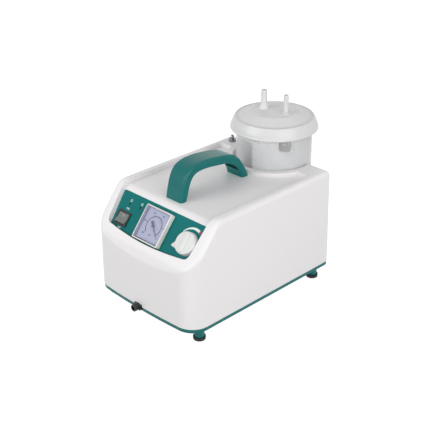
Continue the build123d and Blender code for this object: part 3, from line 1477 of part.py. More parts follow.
barb_z = cover_low + cover_height / 2
cover_front = crank_y - head_length / 2
cover_left = motor_x - head_width / 2
cover_right = motor_x + head_width / 2
with BuildPart() as pump_cover:
    with Locations((motor_x, crank_y, cover_low)):
        Box(head_width, head_length, cover_height, align=centred)
    fillet(edges().group_by(Axis.Z)[-1], cover_wall / 2)
    room_width = (head_width - 3 * cover_wall) / 2
    for side in (-1, 1):
        with Locations((motor_x + side * (room_width + cover_wall) / 2, crank_y, cover_low)):
            Box(
                room_width,
                head_length - 6 * cover_wall,
                cover_height - cover_wall,
                align=centred,
                mode=Mode.SUBTRACT,
            )
    for x, reach in ((gauge_hose_x, barb_length), (regulator_hose_x, barb_length)):
        bar(x, barb_z, cover_front - reach, cover_front, barb_radius)
        bar(x, barb_z, cover_front - reach, cover_front + 3 * cover_wall + 1, barb_radius / 2, Mode.SUBTRACT)
    with BuildSketch(Plane.YZ.offset(cover_left - barb_length)) as side_barb:
        with Locations((crank_y, barb_z)):
            Circle(barb_radius)
    extrude(side_barb.sketch, amount=barb_length)
    with BuildSketch(Plane.YZ.offset(cover_left - barb_length)) as side_bore:
        with Locations((crank_y, barb_z)):
            Circle(barb_radius / 2)
    extrude(side_bore.sketch, amount=barb_length + cover_wall + 1, mode=Mode.SUBTRACT)
    with BuildSketch(Plane.YZ.offset(cover_right - cover_wall - 1)) as exhaust_hole:
        with Locations((crank_y, barb_z)):
            Circle(barb_radius + static_gap)
    extrude(exhaust_hole.sketch, amount=cover_wall + 1, mode=Mode.SUBTRACT)
    with BuildSketch(Plane.XY.offset(cover_low)):
        with Locations((motor_x, crank_y)):
            with GridLocations(screw_spread_x, screw_spread_y, 2, 2):
                Circle(screw_radius + static_gap)
    extrude(amount=cover_height, mode=Mode.SUBTRACT)
pump_cover.part.label = "pump_cover"
export_step(pump_cover.part, "parts/pump_cover.step")

with BuildPart() as exhaust_muffler:
    with BuildSketch(Plane.YZ.offset(cover_right - cover_wall)) as muffler_stem:
        with Locations((crank_y, barb_z)):
            Circle(barb_radius)
    extrude(muffler_stem.sketch, amount=2 * cover_wall)
    with BuildSketch(Plane.YZ.offset(cover_right)) as muffler_can:
        with Locations((crank_y, barb_z)):
            Circle(2.2 * barb_radius)
    extrude(muffler_can.sketch, amount=1.5 * barb_length)
    chamfer(edges().filter_by(GeomType.CIRCLE).sort_by(Axis.X)[-1], barb_radius / 2)
exhaust_muffler.part.label = "exhaust_muffler"
export_step(exhaust_muffler.part, "parts/exhaust_muffler.step")

head_screw_places = [
    (motor_x + side * screw_spread_x / 2, crank_y + end * screw_spread_y / 2)
    for side in (-1, 1)
    for end in (-1, 1)
]
with BuildPart() as head_screws:
    cross_head_screws(head_screw_places, cover_top, cover_top - deck_low - static_gap, -1)
head_screws.part.label = "head_screws"
export_step(head_screws.part, "parts/head_screws.step")

# Vacuum hoses, from case inlet, gauge and regulator to the suction side of the pump


def hose(path):
    """A hose along a path of straight runs joined by tangent arcs."""
    with BuildLine() as line:
        FilletPolyline(*path, radius=hose_bend)
    start = Plane(origin=line.line @ 0, z_dir=line.line % 0)
    for radius, mode in ((hose_radius, Mode.ADD), (hose_bore, Mode.SUBTRACT)):
        with BuildSketch(start) as section:
            Circle(radius)
        sweep(section.sketch, path=line.line, mode=mode)


gauge_stub = (0, gauge_s, can_back - nut_height)
regulator_stub = (knob_x, knob_s, valve_back)
with BuildPart() as vacuum_hoses:
    hose(
        (
            (nozzle_x, nozzle_y, dish_under - 2 * nut_height),
            (nozzle_x, nozzle_y, barb_z),
            (nozzle_x, crank_y, barb_z),
            (cover_left, crank_y, barb_z),
        )
    )
    for stub, cover_x in ((gauge_stub, gauge_hose_x), (regulator_stub, regulator_hose_x)):
        first = panel_at(*stub).origin
        second = first - out_slope * 2 * hose_bend
        hose(
            (
                tuple(first),
                tuple(second),
                (cover_x, cover_front - 3 * barb_length, barb_z),
                (cover_x, cover_front, barb_z),
            )
        )
vacuum_hoses.part.label = "vacuum_hoses"
export_step(vacuum_hoses.part, "parts/vacuum_hoses.step")
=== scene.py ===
"""Looks of the vacuum aspirator, laid out as a Blender add-on: one operator for each group of pieces."""

from math import cos, pi, radians, sin

import bmesh
import bpy
from mathutils import Matrix, Vector


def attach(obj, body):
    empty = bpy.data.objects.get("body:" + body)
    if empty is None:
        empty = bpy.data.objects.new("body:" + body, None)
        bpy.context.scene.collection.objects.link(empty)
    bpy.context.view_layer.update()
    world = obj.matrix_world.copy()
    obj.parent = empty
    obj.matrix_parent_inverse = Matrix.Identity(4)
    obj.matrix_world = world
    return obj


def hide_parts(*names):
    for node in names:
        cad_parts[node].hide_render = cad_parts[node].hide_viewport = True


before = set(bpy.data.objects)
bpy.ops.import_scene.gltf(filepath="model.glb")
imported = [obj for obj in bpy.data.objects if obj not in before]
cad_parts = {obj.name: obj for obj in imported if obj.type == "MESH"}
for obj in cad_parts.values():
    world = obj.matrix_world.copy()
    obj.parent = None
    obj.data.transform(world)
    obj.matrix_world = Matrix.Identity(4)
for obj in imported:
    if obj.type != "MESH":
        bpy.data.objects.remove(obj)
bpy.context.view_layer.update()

bl_info = {
    "name": "Vacuum aspirator",
    "version": (1, 0, 0),
    "blender": (4, 5, 0),
    "location": "3D View > Sidebar > Aspirator",
    "description": "Finishes the packed vacuum aspirator with prints, marks, materials and a stage",
    "category": "Object",
}

# Sizes and places are in millimetres unless a name says otherwise, and MM turns them into metres
MM = 0.001

# The panel: X across it, UP its slope and OUT of it, from the line of its lower corners on the recess's floor
SLOPE = radians(50.6)
UP = Vector((0, cos(SLOPE), sin(SLOPE)))
OUT = Vector((0, -sin(SLOPE), cos(SLOPE)))
PANEL = Vector((0, -139.508, 112.051)) * MM
PANEL_TOP = 1.0
PRINT_LIFT = 0.06

# Places on the panel, across it and up it
GAUGE = (0.0, 23.8)
KNOB = (64.0, 22.6)
SWITCH = (-59.2, 15.4)
ON_WORD = (-58.4, 30.0)
OFF_WORD = (-58.2, 2.3)
MAINS_SIGN = (-58.9, 42.0)
MODE_SIGN = (-38.0, 43.0)

# The rocker's pivot out of the panel, its face over the pivot, its printed bar, and the signs over the lamps
SWITCH_PIVOT = -0.1
ROCKER_FACE = 2.5
BAR_RISE = 4.0
SIGN_INNER = 1.3
SIGN_OUTER = 1.9
SIGN_DOT = 0.55
SIGN_STEPS = 25

# The scale round the knob widens from its start to its red end
SCALE_START = radians(144)
SCALE_TURN = radians(68)
SCALE_END = radians(60)
SCALE_INNER = 20.0
SCALE_OUTER = 21.2
SCALE_WIDENING = 2.6
SCALE_END_OUTER = 23.9
SCALE_STEPS = 30
SCALE_END_STEPS = 6

# The gauge's dial
DIAL_TOP = 3.2
DIAL_START = -pi / 4
DIAL_SWEEP = 1.5 * pi
DIAL_STEPS = 60
DIAL_LINE = 0.6
DIAL_NUMBERS = 6
DIAL_NUMBER_STEP = 20
DIAL_NUMBER_REACH = 18.6
DIAL_UNIT_DROP = 12.5

# The lid's shell: heights and reaches of its skirt, and the heights of the rings cut into it
JAR_Y = 102.9
SKIRT_OUTLINE = (
    (207.0, 61.3),
    (207.8, 62.4),
    (209.4, 62.4),
    (210.2, 61.6),
    (213.5, 61.1),
    (218.0, 59.3),
    (224.3, 55.9),
)
SKIRT_RINGS = (207.8, 209.4, 210.2, 213.5, 216.0, 218.0, 221.0)
SKIRT_CUT_REACH = 55.0
SKIRT_LOW = 206.9
SKIRT_HIGH = 224.2
SKIRT_REACH = 59.0
SHOULDER_LOW = 214.0
SHOULDER_REACH = 55.95
WELD_METRES = 0.00001
CUT_METRES = 0.000001

# Procedural materials: the size of their clouds, how far gloss and clearness stray, how deep milkiness goes
TONE_CLOUD = 25
CLEAR_CLOUD = 30
GLOSS_STRAY = 0.12
CLEAR_STRAY = 0.02
MILK_DEPTH = 4

# The background, and the floor in metres with how much it glows where it is seen
WHITE = (1, 1, 1, 1)
FLOOR_REACH = 6.0
FLOOR_GLOW = 0.93

# The camera of the photograph: its place, the point it looks at, its roll and its lens
CAMERA_PLACE = Vector((833.56, -826.09, 697.61)) * MM
CAMERA_AIM = Vector((-0.86, -14.81, 108.38)) * MM
CAMERA_ROLL = radians(-0.588)
SENSOR = 36
FOCAL_PIXELS = 941.99
PHOTO_PIXELS = 430
LAMP_AIM = Vector((0, 0, 0.1))


def colour(code):
    """A linear colour from an sRGB hex code."""
    channels = [int(code[i : i + 2], 16) / 255 for i in (1, 3, 5)]
    return tuple(c / 12.92 if c <= 0.04045 else ((c + 0.055) / 1.055) ** 2.4 for c in channels) + (1.0,)


def hex_property(code, label):
    """A colour property whose default is an sRGB hex code."""
    return bpy.props.FloatVectorProperty(
        name=label, subtype="COLOR", size=4, min=0, max=1, default=colour(code)
    )


class AspiratorSettings(bpy.types.PropertyGroup):
    """Colours and sizes that the operators read."""

    housing: hex_property("#e6e4e5", "Case")
    teal: hex_property("#066866", "Handle and tray")
    panel: hex_property("#0c6e6d", "Panel film")
    dial: hex_property("#cdcedc", "Dial")
    knob: hex_property("#d9dbd9", "Knob")
    lid: hex_property("#d3d3d3", "Lid")
    jar: hex_property("#dedede", "Jar")
    ink: hex_property("#101014", "Dial ink")
    white_ink: hex_property("#dfe6e3", "Panel ink")
    arc_radius: bpy.props.FloatProperty(name="Dial arc radius (mm)", default=13.4, min=5, max=20)
    tick_count: bpy.props.IntProperty(name="Dial ticks", default=21, min=2, max=101)
    key_light: bpy.props.FloatProperty(name="Key light (W)", default=12.0, min=0)
    fill_light: bpy.props.FloatProperty(name="Fill light (W)", default=14.0, min=0)
    sky: bpy.props.FloatProperty(name="Ambient light", default=0.6, min=0)


# Shader nodes


def add_node(tree, kind, at, inputs=None, **settings):
    """Adds a node at a place in the editor, sets its settings, and fills or links its inputs."""
    node = tree.nodes.new(kind)
    node.location = at
    for name, value in settings.items():
        setattr(node, name, value)
    for key, value in (inputs or {}).items():
        if isinstance(value, bpy.types.NodeSocket):
            tree.links.new(value, node.inputs[key])
        else:
            node.inputs[key].default_value = value
    return node


def new_material(name):
    """An empty node material and its tree."""
    material = bpy.data.materials.new(name)
    material.use_nodes = True
    material.node_tree.nodes.clear()
    return material, material.node_tree


def noise(tree, at, place, size, detail):
    """Noise whose pattern has a size in millimetres."""
    inputs = {"Vector": place, "Scale": 1 / (size * MM), "Detail": detail}
    return add_node(tree, "ShaderNodeTexNoise", at, inputs)


def surface(name, base, rough=0.4, metal=0.0, grain=0.8, depth=0.02, tone=0.03, edge=0.4, painted_highlight=0.0, **more):
    """A moulded, cast or turned surface: mottled tone and gloss, fine grain, softened edges.

    grain is the size of the grain and depth its height, edge the radius of the softened edges, all in
    millimetres; tone is how far the colour strays, and painted_highlight how much paler the edges are
    painted, a painted highlight along them. What more holds goes to the shader.
    """
    material, tree = new_material(name)
    place = add_node(tree, "ShaderNodeTexCoord", (-1200, 0)).outputs["Object"]
    cloud = noise(tree, (-1000, 200), place, TONE_CLOUD, 3.0)
    fine = noise(tree, (-1000, -200), place, grain, 2.0)
    darker = tuple(c * (1 - tone) for c in base[:3]) + (1.0,)
    paler = tuple(min(1.0, c * (1 + tone)) for c in base[:3]) + (1.0,)
    mottle = add_node(
        tree, "ShaderNodeMix", (-750, 250), {0: cloud.outputs["Fac"], 6: darker, 7: paler}, data_type="RGBA"
    )
    soft = add_node(tree, "ShaderNodeBevel", (-1000, -450), {"Radius": edge * MM}, samples=4)
    bump = add_node(
        tree,
        "ShaderNodeBump",
        (-500, -300),
        {
            "Height": fine.outputs["Fac"],
            "Strength": 0.6,
            "Distance": depth * MM,
            "Normal": soft.outputs["Normal"],
        },
    )
    gloss = add_node(
        tree,
        "ShaderNodeMapRange",
        (-500, 0),
        {
            "Value": cloud.outputs["Fac"],
            "To Min": rough * (1 - GLOSS_STRAY),
            "To Max": rough * (1 + GLOSS_STRAY),
        },
    )
    tint = mottle.outputs[2]
    # Painted highlight: where the softened normal turns from the face's own, the edges are painted paler
    if painted_highlight:
        facing = add_node(tree, "ShaderNodeNewGeometry", (-1000, -650)).outputs["Normal"]
        turn = add_node(
            tree,
            "ShaderNodeVectorMath",
            (-750, -550),
            {0: soft.outputs["Normal"], 1: facing},
            operation="DOT_PRODUCT",
        )
        highlight_mask = add_node(
            tree,
            "ShaderNodeMapRange",
            (-550, -550),
            {"Value": turn.outputs["Value"], "From Min": 1.0, "From Max": 0.9, "To Max": painted_highlight},
        )
        highlight_tint = tuple(min(1.0, c * 1.35 + 0.04) for c in base[:3]) + (1.0,)
        tint = add_node(
            tree, "ShaderNodeMix", (-500, 250), {0: highlight_mask.outputs[0], 6: tint, 7: highlight_tint}, data_type="RGBA"
        ).outputs[2]
    inputs = {
        "Base Color": tint,
        "Roughness": gloss.outputs[0],
        "Metallic": metal,
        "Normal": bump.outputs["Normal"],
    }
    inputs.update({key.replace("_", " "): value for key, value in more.items()})
    shader = add_node(tree, "ShaderNodeBsdfPrincipled", (-200, 0), inputs)
    add_node(tree, "ShaderNodeOutputMaterial", (100, 0), {"Surface": shader.outputs[0]})
    return material


def see_through(name, base, clear, rough, milk, edge=0.4):
    """A thin-walled clear or milky plastic: part of the light passes, the rest lights its own colour.

    clear is the share of light that passes, milk how far the rest scatters inside, edge the radius of the
    softened edges in millimetres.
    """
    material, tree = new_material(name)
    place = add_node(tree, "ShaderNodeTexCoord", (-1000, 0)).outputs["Object"]
    cloud = noise(tree, (-800, 0), place, CLEAR_CLOUD, 2.0)
    share = add_node(
        tree,
        "ShaderNodeMapRange",
        (-600, 100),
        {
            "Value": cloud.outputs["Fac"],
            "To Min": clear * (1 - CLEAR_STRAY),
            "To Max": min(1.0, clear * (1 + CLEAR_STRAY)),
        },
    )
    soft = add_node(tree, "ShaderNodeBevel", (-800, -250), {"Radius": edge * MM}, samples=4)
    body = add_node(
        tree,
        "ShaderNodeBsdfPrincipled",
        (-400, -100),
        {
            "Base Color": base,
            "Roughness": rough,
            "Subsurface Weight": milk,
            "Subsurface Radius": (MILK_DEPTH * MM,) * 3,
            "Normal": soft.outputs["Normal"],
        },
    )
    window = add_node(tree, "ShaderNodeBsdfTransparent", (-400, 150), {"Color": (0.97, 0.975, 0.98, 1)})
    edge_on = add_node(tree, "ShaderNodeLayerWeight", (-600, 300), {"Blend": 0.25})
    kept = add_node(
        tree,
        "ShaderNodeMath",
        (-400, 300),
        {0: share.outputs[0], 1: edge_on.outputs["Facing"]},
        operation="MULTIPLY",
    )
    passed = add_node(
        tree, "ShaderNodeMath", (-250, 300), {0: share.outputs[0], 1: kept.outputs[0]}, operation="SUBTRACT"
    )
    mix = add_node(
        tree,
        "ShaderNodeMixShader",
        (-50, 0),
        {0: passed.outputs[0], 1: body.outputs[0], 2: window.outputs[0]},
    )
    add_node(tree, "ShaderNodeOutputMaterial", (150, 0), {"Surface": mix.outputs[0]})
    return material


def turned_metal(name, base, rough=0.25, lines=0.25, **more):
    """A turned, ground or plated metal with fine tool lines across Z."""
    material = surface(name, base, rough, 1.0, grain=lines, depth=0.004, tone=0.04, edge=0.15, **more)
    tree = material.node_tree
    fine = [n for n in tree.nodes if n.type == "TEX_NOISE"][1]
    place = [n for n in tree.nodes if n.type == "TEX_COORD"][0].outputs["Object"]
    squeeze = add_node(tree, "ShaderNodeMapping", (-1150, -250), {"Vector": place, "Scale": (0.1, 0.1, 1.0)})
    tree.links.new(squeeze.outputs[0], fine.inputs["Vector"])
    return material


def ink(name, base):
    """Screen-printed ink, slightly uneven, with a faint raised grain."""
    return surface(name, base, 0.45, grain=0.3, depth=0.004, tone=0.06, edge=0.05)


# Meshes


def add_object(name, data):
    """A new object in the scene's collection."""
    thing = bpy.data.objects.new(name, data)
    bpy.context.scene.collection.objects.link(thing)
    return thing


def panel_point(x, s, h):
    """A point on the panel, from millimetres across, up the slope and out of it."""
    return PANEL + Vector((x * MM, 0, 0)) + UP * (s * MM) + OUT * (h * MM)


def panel_matrix(x, s, h):
    """A frame with X across the panel, Y up it and Z out of it."""
    axes = Matrix((Vector((1, 0, 0)), UP, OUT)).transposed().to_4x4()
    return Matrix.Translation(panel_point(x, s, h)) @ axes


def make_piece(name, points, faces, material, slot, body="base"):
    """A mesh object in the row frame that rides on a body."""
    mesh = bpy.data.meshes.new(name)
    mesh.from_pydata([tuple(p) for p in points], [], faces)
    mesh.materials.append(material)
    mesh.update()
    piece = add_object(name, mesh)
    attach(piece, body)


def strip(centre, h, turns, inner, outer):
    """Points and faces of a flat arc on the panel; inner and outer are lists of radii, one for each turn."""
    points = []
    for turn, low, high in zip(turns, inner, outer):
        for radius in (low, high):
            points.append(panel_point(centre[0] + radius * cos(turn), centre[1] + radius * sin(turn), h))
    faces = [(2 * i, 2 * i + 1, 2 * i + 3, 2 * i + 2) for i in range(len(turns) - 1)]
    if turns[0] > turns[-1]:
        faces = [face[::-1] for face in faces]
    return points, faces


def arc(centre, h, turns, inner, outer):
    """Points and faces of a flat arc of even width on the panel."""
    return strip(centre, h, turns, [inner] * len(turns), [outer] * len(turns))


def bar_mark(x, s, h, width, height):
    """Points and faces of a small upright bar on the panel."""
    corners = ((-1, -1), (1, -1), (1, 1), (-1, 1))
    points = [panel_point(x + side * width / 2, s + end * height / 2, h) for side, end in corners]
    return points, [(0, 1, 2, 3)]


def even(start, end, count):
    """Evenly spaced values."""
    return [start + (end - start) * i / (count - 1) for i in range(count)]


def joined(shapes):
    """Several lists of points and faces as one."""
    points, faces = [], []
    for more_points, more_faces in shapes:
        faces += [tuple(i + len(points) for i in face) for face in more_faces]
        points += more_points
    return points, faces


def lettering(text, size, x, s, h, weight):
    """Points and faces of a short text lying on the panel, centred on a point; weight thickens it, in mm."""
    curve = bpy.data.curves.new("lettering", "FONT")
    curve.body = text
    curve.size = size * MM
    curve.align_x = "CENTER"
    curve.align_y = "CENTER"
    curve.resolution_u = 2
    curve.offset = weight * MM
    holder = add_object("lettering", curve)
    depsgraph = bpy.context.evaluated_depsgraph_get()
    mesh = bpy.data.meshes.new_from_object(holder.evaluated_get(depsgraph))
    place = panel_matrix(x, s, h)
    points = [place @ v.co for v in mesh.vertices]
    faces = [tuple(f.vertices) for f in mesh.polygons]
    bpy.data.objects.remove(holder)
    bpy.data.curves.remove(curve)
    bpy.data.meshes.remove(mesh)
    return points, faces


# Ticks repeated round the dial


def tick_group():
    """A node group that sets flat ticks round an arc in the XY plane."""
    group = bpy.data.node_groups.new("Ticks on an arc", "GeometryNodeTree")
    sockets = group.interface
    sockets.new_socket("Geometry", in_out="OUTPUT", socket_type="NodeSocketGeometry")
    for label, kind, value in (
        ("Count", "NodeSocketInt", 21),
        ("Start", "NodeSocketFloat", DIAL_START),
        ("Sweep", "NodeSocketFloat", DIAL_SWEEP),
        ("Radius", "NodeSocketFloat", 0.0145),
        ("Length", "NodeSocketFloat", 0.0016),
        ("Width", "NodeSocketFloat", 0.0003),
    ):
        sockets.new_socket(label, in_out="INPUT", socket_type=kind).default_value = value
    sockets.new_socket("Material", in_out="INPUT", socket_type="NodeSocketMaterial")
    given = add_node(group, "NodeGroupInput", (-900, 0)).outputs
    line = add_node(group, "GeometryNodeMeshLine", (-650, 200), {"Count": given["Count"]}, mode="OFFSET")
    index = add_node(group, "GeometryNodeInputIndex", (-900, -250)).outputs[0]
    last = add_node(group, "ShaderNodeMath", (-700, -150), {0: given["Count"], 1: 1.0}, operation="SUBTRACT")
    share = add_node(
        group, "ShaderNodeMath", (-550, -200), {0: index, 1: last.outputs[0]}, operation="DIVIDE"
    )
    turn = add_node(
        group,
        "ShaderNodeMath",
        (-400, -200),
        {0: share.outputs[0], 1: given["Sweep"], 2: given["Start"]},
        operation="MULTIPLY_ADD",
    ).outputs[0]
    spin = add_node(group, "ShaderNodeCombineXYZ", (-200, -200), {"Z": turn}).outputs[0]
    arm = add_node(group, "ShaderNodeCombineXYZ", (-400, -400), {"X": given["Radius"]}).outputs[0]
    place = add_node(
        group,
        "ShaderNodeVectorRotate",
        (0, -300),
        {"Vector": arm, "Rotation": spin},
        rotation_type="EULER_XYZ",
    )
    spots = add_node(
        group,
        "GeometryNodeSetPosition",
        (0, 200),
        {"Geometry": line.outputs[0], "Position": place.outputs[0]},
    )
    tick = add_node(
        group,
        "GeometryNodeMeshGrid",
        (-200, 0),
        {"Size X": given["Length"], "Size Y": given["Width"], "Vertices X": 2, "Vertices Y": 2},
    )
    copies = add_node(
        group,
        "GeometryNodeInstanceOnPoints",
        (250, 200),
        {"Points": spots.outputs[0], "Instance": tick.outputs[0], "Rotation": spin},
    )
    real = add_node(group, "GeometryNodeRealizeInstances", (450, 200), {"Geometry": copies.outputs[0]})
    finish = add_node(
        group,
        "GeometryNodeSetMaterial",
        (650, 200),
        {"Geometry": real.outputs[0], "Material": given["Material"]},
    )
    add_node(group, "NodeGroupOutput", (850, 200), {"Geometry": finish.outputs[0]})
    return group


def ticks(group, name, material, place, **values):
    """A plain mesh of ticks made with the node group, lying on the dial."""
    holder = add_object(name, bpy.data.meshes.new(name))
    modifier = holder.modifiers.new("Ticks", "NODES")
    modifier.node_group = group
    for item in group.interface.items_tree:
        if item.in_out == "INPUT" and item.name in values:
            modifier[item.identifier] = values[item.name]
        elif item.in_out == "INPUT" and item.name == "Material":
            modifier[item.identifier] = material
    depsgraph = bpy.context.evaluated_depsgraph_get()
    mesh = bpy.data.meshes.new_from_object(holder.evaluated_get(depsgraph))
    mesh.transform(place)
    holder.modifiers.clear()
    holder.data = mesh
    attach(holder, "base")


def finish_nodes(table):
    """Gives each CAD node its one material."""
    for names, material in table:
        for name in names.split():
            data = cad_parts[name].data
            data.materials.clear()
            data.materials.append(material)


class ASPIRATOR_OT_case(bpy.types.Operator):
    """Finishes the case, tray, handle, feet and their fasteners"""

    bl_idname = "aspirator.case"
    bl_label = "Case"

    def execute(self, context):
        look = context.scene.aspirator
        # White impact-resistant styrene with the fine spark texture of its mould
        housing = surface("White styrene", look.housing, 0.42, grain=0.6, depth=0.012, tone=0.012, edge=0.8)
        # Teal styrene, smoother than the case, with a painted highlight along its edges
        teal = surface(
            "Teal styrene",
            look.teal,
            0.24,
            grain=0.5,
            depth=0.005,
            tone=0.05,
            edge=0.8,
            painted_highlight=0.3,
            Specular_IOR_Level=0.25,
        )
        # Black nitrile rubber
        rubber = surface("Black rubber", colour("#1b1b1c"), 0.75, grain=0.35, depth=0.03, tone=0.15, edge=0.5)
        # Zinc-plated steel of the fasteners
        zinc = turned_metal("Zinc-plated steel", colour("#b9b9bd"), 0.32)
        finish_nodes(
            (
                ("upper_housing", housing),
                ("base_tray handle", teal),
                ("rubber_feet rubber_mounts", rubber),
                ("base_screws handle_screws inlet_screws head_screws motor_bolts regulator_nut", zinc),
            )
        )
        return {"FINISHED"}


class ASPIRATOR_OT_panel(bpy.types.Operator):
    """Finishes the panel, switch, lamps and knob, and prints the panel's marks"""

    bl_idname = "aspirator.panel"
    bl_label = "Panel"

    def execute(self, context):
        look = context.scene.aspirator
        # Polycarbonate film printed teal on its back
        film = surface(
            "Printed film",
            look.panel,
            0.35,
            grain=0.4,
            depth=0.006,
            tone=0.02,
            edge=0.2,
            Specular_IOR_Level=0.1,
        )
        white = ink("White ink", look.white_ink)
        red = ink("Red ink", colour("#b0324a"))
        # Black nylon of the switch bezel, inlet and fuse holder, with a painted highlight along its edges
        nylon = surface(
            "Black nylon", colour("#1d1f1f"), 0.38, grain=0.5, depth=0.01, tone=0.1, edge=0.3, painted_highlight=0.3
        )
        # Grey nylon of the rocker, with a painted highlight along its edges, and the paler plastic of the
        # knob
        key = surface(
            "Grey key", colour("#6b716f"), 0.35, grain=0.5, depth=0.006, tone=0.05, edge=0.5, painted_highlight=0.2
        )
        knob = surface("Pale knob", look.knob, 0.35, grain=0.6, depth=0.008, tone=0.02, edge=0.7)
        # Tinted lamp caps, which look almost black unlit
        amber = surface("Amber lamp", colour("#1c1210"), 0.2, grain=1.0, depth=0.0, tone=0.1, edge=0.2)
        green = surface("Green lamp", colour("#0e1c16"), 0.2, grain=1.0, depth=0.0, tone=0.1, edge=0.2)
        finish_nodes(
            (
                ("control_panel", film),
                ("switch_body foot_switch_socket mains_inlet fuse_holder fuse_cap", nylon),
                ("exhaust_muffler cooling_fan", nylon),
                ("switch_rocker", key),
                ("regulator_knob", knob),
                ("power_lamp", amber),
                ("mode_lamp", green),
            )
        )
        h = PANEL_TOP + PRINT_LIFT
        # A ring with a stroke over the mains lamp, and a ring with a dot over the mode lamp
        marks = (
            lettering("ON", 3.8, *ON_WORD, h, weight=0.1),
            lettering("OFF", 3.6, *OFF_WORD, h, weight=0.1),
            arc(MAINS_SIGN, h, even(radians(120), radians(420), SIGN_STEPS), SIGN_INNER, SIGN_OUTER),
            bar_mark(MAINS_SIGN[0], MAINS_SIGN[1] + 1.2, h, 0.6, 2.0),
            arc(MODE_SIGN, h, even(0, 2 * pi, SIGN_STEPS), SIGN_INNER, SIGN_OUTER),
            arc(MODE_SIGN, h, even(0, 2 * pi, SIGN_STEPS), 0.0, SIGN_DOT),
        )
        make_piece("panel_marks", *joined(marks), white, "panel_film")
        bar = bar_mark(SWITCH[0], SWITCH[1] + BAR_RISE, SWITCH_PIVOT + ROCKER_FACE + PRINT_LIFT, 0.8, 3.2)
        make_piece("rocker_mark", *bar, ink("Grey ink", colour("#b4bab8")), "switch_grey", body="switch_key")
        scale = strip(
            KNOB,
            h,
            even(SCALE_START, SCALE_TURN, SCALE_STEPS),
            [SCALE_INNER] * SCALE_STEPS,
            even(SCALE_OUTER, SCALE_OUTER + SCALE_WIDENING, SCALE_STEPS),
        )
        make_piece("knob_scale", *scale, white, "panel_film")
        end = arc(KNOB, h, even(SCALE_TURN, SCALE_END, SCALE_END_STEPS), SCALE_INNER, SCALE_END_OUTER)
        make_piece("knob_scale_end", *end, red, "panel_film")
        return {"FINISHED"}


class ASPIRATOR_OT_gauge(bpy.types.Operator):
    """Finishes the vacuum gauge and prints its dial"""

    bl_idname = "aspirator.gauge"
    bl_label = "Gauge"

    def execute(self, context):
        look = context.scene.aspirator
        # White styrene shell, painted card, lacquered pointer and a faintly violet acrylic cover
        shell = surface("Gauge shell", colour("#e4e2dc"), 0.3, grain=0.6, depth=0.006, tone=0.02, edge=0.5)
        face = surface("Dial card", look.dial, 0.5, grain=0.5, depth=0.004, tone=0.02, edge=0.1)
        black = ink("Dial ink", look.ink)
        pointer = surface(
            "Painted pointer", colour("#0c0c10"), 0.5, grain=0.3, depth=0.002, tone=0.1, edge=0.05
        )
        cover = see_through("Clear acrylic", colour("#aeb3d8"), 0.96, 0.05, 0.0, edge=0.3)
        finish_nodes(
            (
                ("gauge_case", shell),
                ("gauge_dial", face),
                ("gauge_needle", pointer),
                ("gauge_lens", cover),
            )
        )
        h = DIAL_TOP + PRINT_LIFT
        radius = look.arc_radius
        turns = even(DIAL_START, DIAL_START + DIAL_SWEEP, DIAL_STEPS)
        shapes = [arc(GAUGE, h, turns, radius - DIAL_LINE, radius + DIAL_LINE)]
        for step, turn in enumerate(even(DIAL_START, DIAL_START + DIAL_SWEEP, DIAL_NUMBERS)):
            spot = (GAUGE[0] + DIAL_NUMBER_REACH * cos(turn), GAUGE[1] + DIAL_NUMBER_REACH * sin(turn))
            shapes.append(lettering(str(DIAL_NUMBER_STEP * step), 3.4, *spot, h, weight=0.08))
        shapes.append(lettering("kPa", 3.2, GAUGE[0], GAUGE[1] - DIAL_UNIT_DROP, h, weight=0.08))
        make_piece("dial_print", *joined(shapes), black, "dial_print")
        group = tick_group()
        place = panel_matrix(*GAUGE, h)
        for name, count, length, width in (
            ("dial_short_ticks", look.tick_count, 1.8, 0.35),
            ("dial_long_ticks", DIAL_NUMBERS, 3.0, 0.75),
        ):
            middle = (radius + length / 2) * MM
            ticks(group, name, black, place, Count=count, Radius=middle, Length=length * MM, Width=width * MM)
        return {"FINISHED"}


# The lid


def skirt_radius(z):
    """How far the skirt of the lid's shell reaches at a height."""
    for (low, start), (high, end) in zip(SKIRT_OUTLINE, SKIRT_OUTLINE[1:]):
        if low <= z <= high:
            return start + (end - start) * (z - low) / (high - low)
    return SKIRT_OUTLINE[-1][1]


def reach_from_axis(point):
    """Distance of a point from the jar's axis."""
    return ((point.x / MM) ** 2 + (point.y / MM - JAR_Y) ** 2) ** 0.5


def in_skirt(z, reach):
    """Whether a point of the lid is moved; this takes in the ring at the top of the skirt's hollow too."""
    if z >= SKIRT_HIGH:
        return False
    return (reach > SKIRT_REACH and z > SKIRT_LOW) or (reach > SHOULDER_REACH and z > SHOULDER_LOW)


def lid_shell(material):
    """Puts a copy of the lid in its place, with more rings cut into its skirt and the skirt moved."""
    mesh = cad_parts["jar_lid"].data.copy()
    shape = bmesh.new()
    shape.from_mesh(mesh)
    bmesh.ops.remove_doubles(shape, verts=shape.verts, dist=WELD_METRES)
    for z in SKIRT_RINGS:
        outside = [f for f in shape.faces if reach_from_axis(f.calc_center_median()) > SKIRT_CUT_REACH]
        # dict.fromkeys drops repeats and keeps the order, so that each run cuts alike
        verts = dict.fromkeys(v for f in outside for v in f.verts)
        edges = dict.fromkeys(e for f in outside for e in f.edges)
        bmesh.ops.bisect_plane(
            shape,
            geom=[*verts, *edges, *outside],
            plane_co=(0, 0, z * MM),
            plane_no=(0, 0, 1),
            dist=CUT_METRES,
        )
    for vert in shape.verts:
        reach = reach_from_axis(vert.co)
        z = vert.co.z / MM
        if in_skirt(z, reach):
            grow = skirt_radius(z) / reach
            vert.co.x *= grow
            vert.co.y = JAR_Y * MM + (vert.co.y - JAR_Y * MM) * grow
    shape.to_mesh(mesh)
    shape.free()
    mesh.materials.clear()
    mesh.materials.append(material)
    shell = add_object("lid_shell", mesh)
    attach(shell, "lid")
    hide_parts("jar_lid")


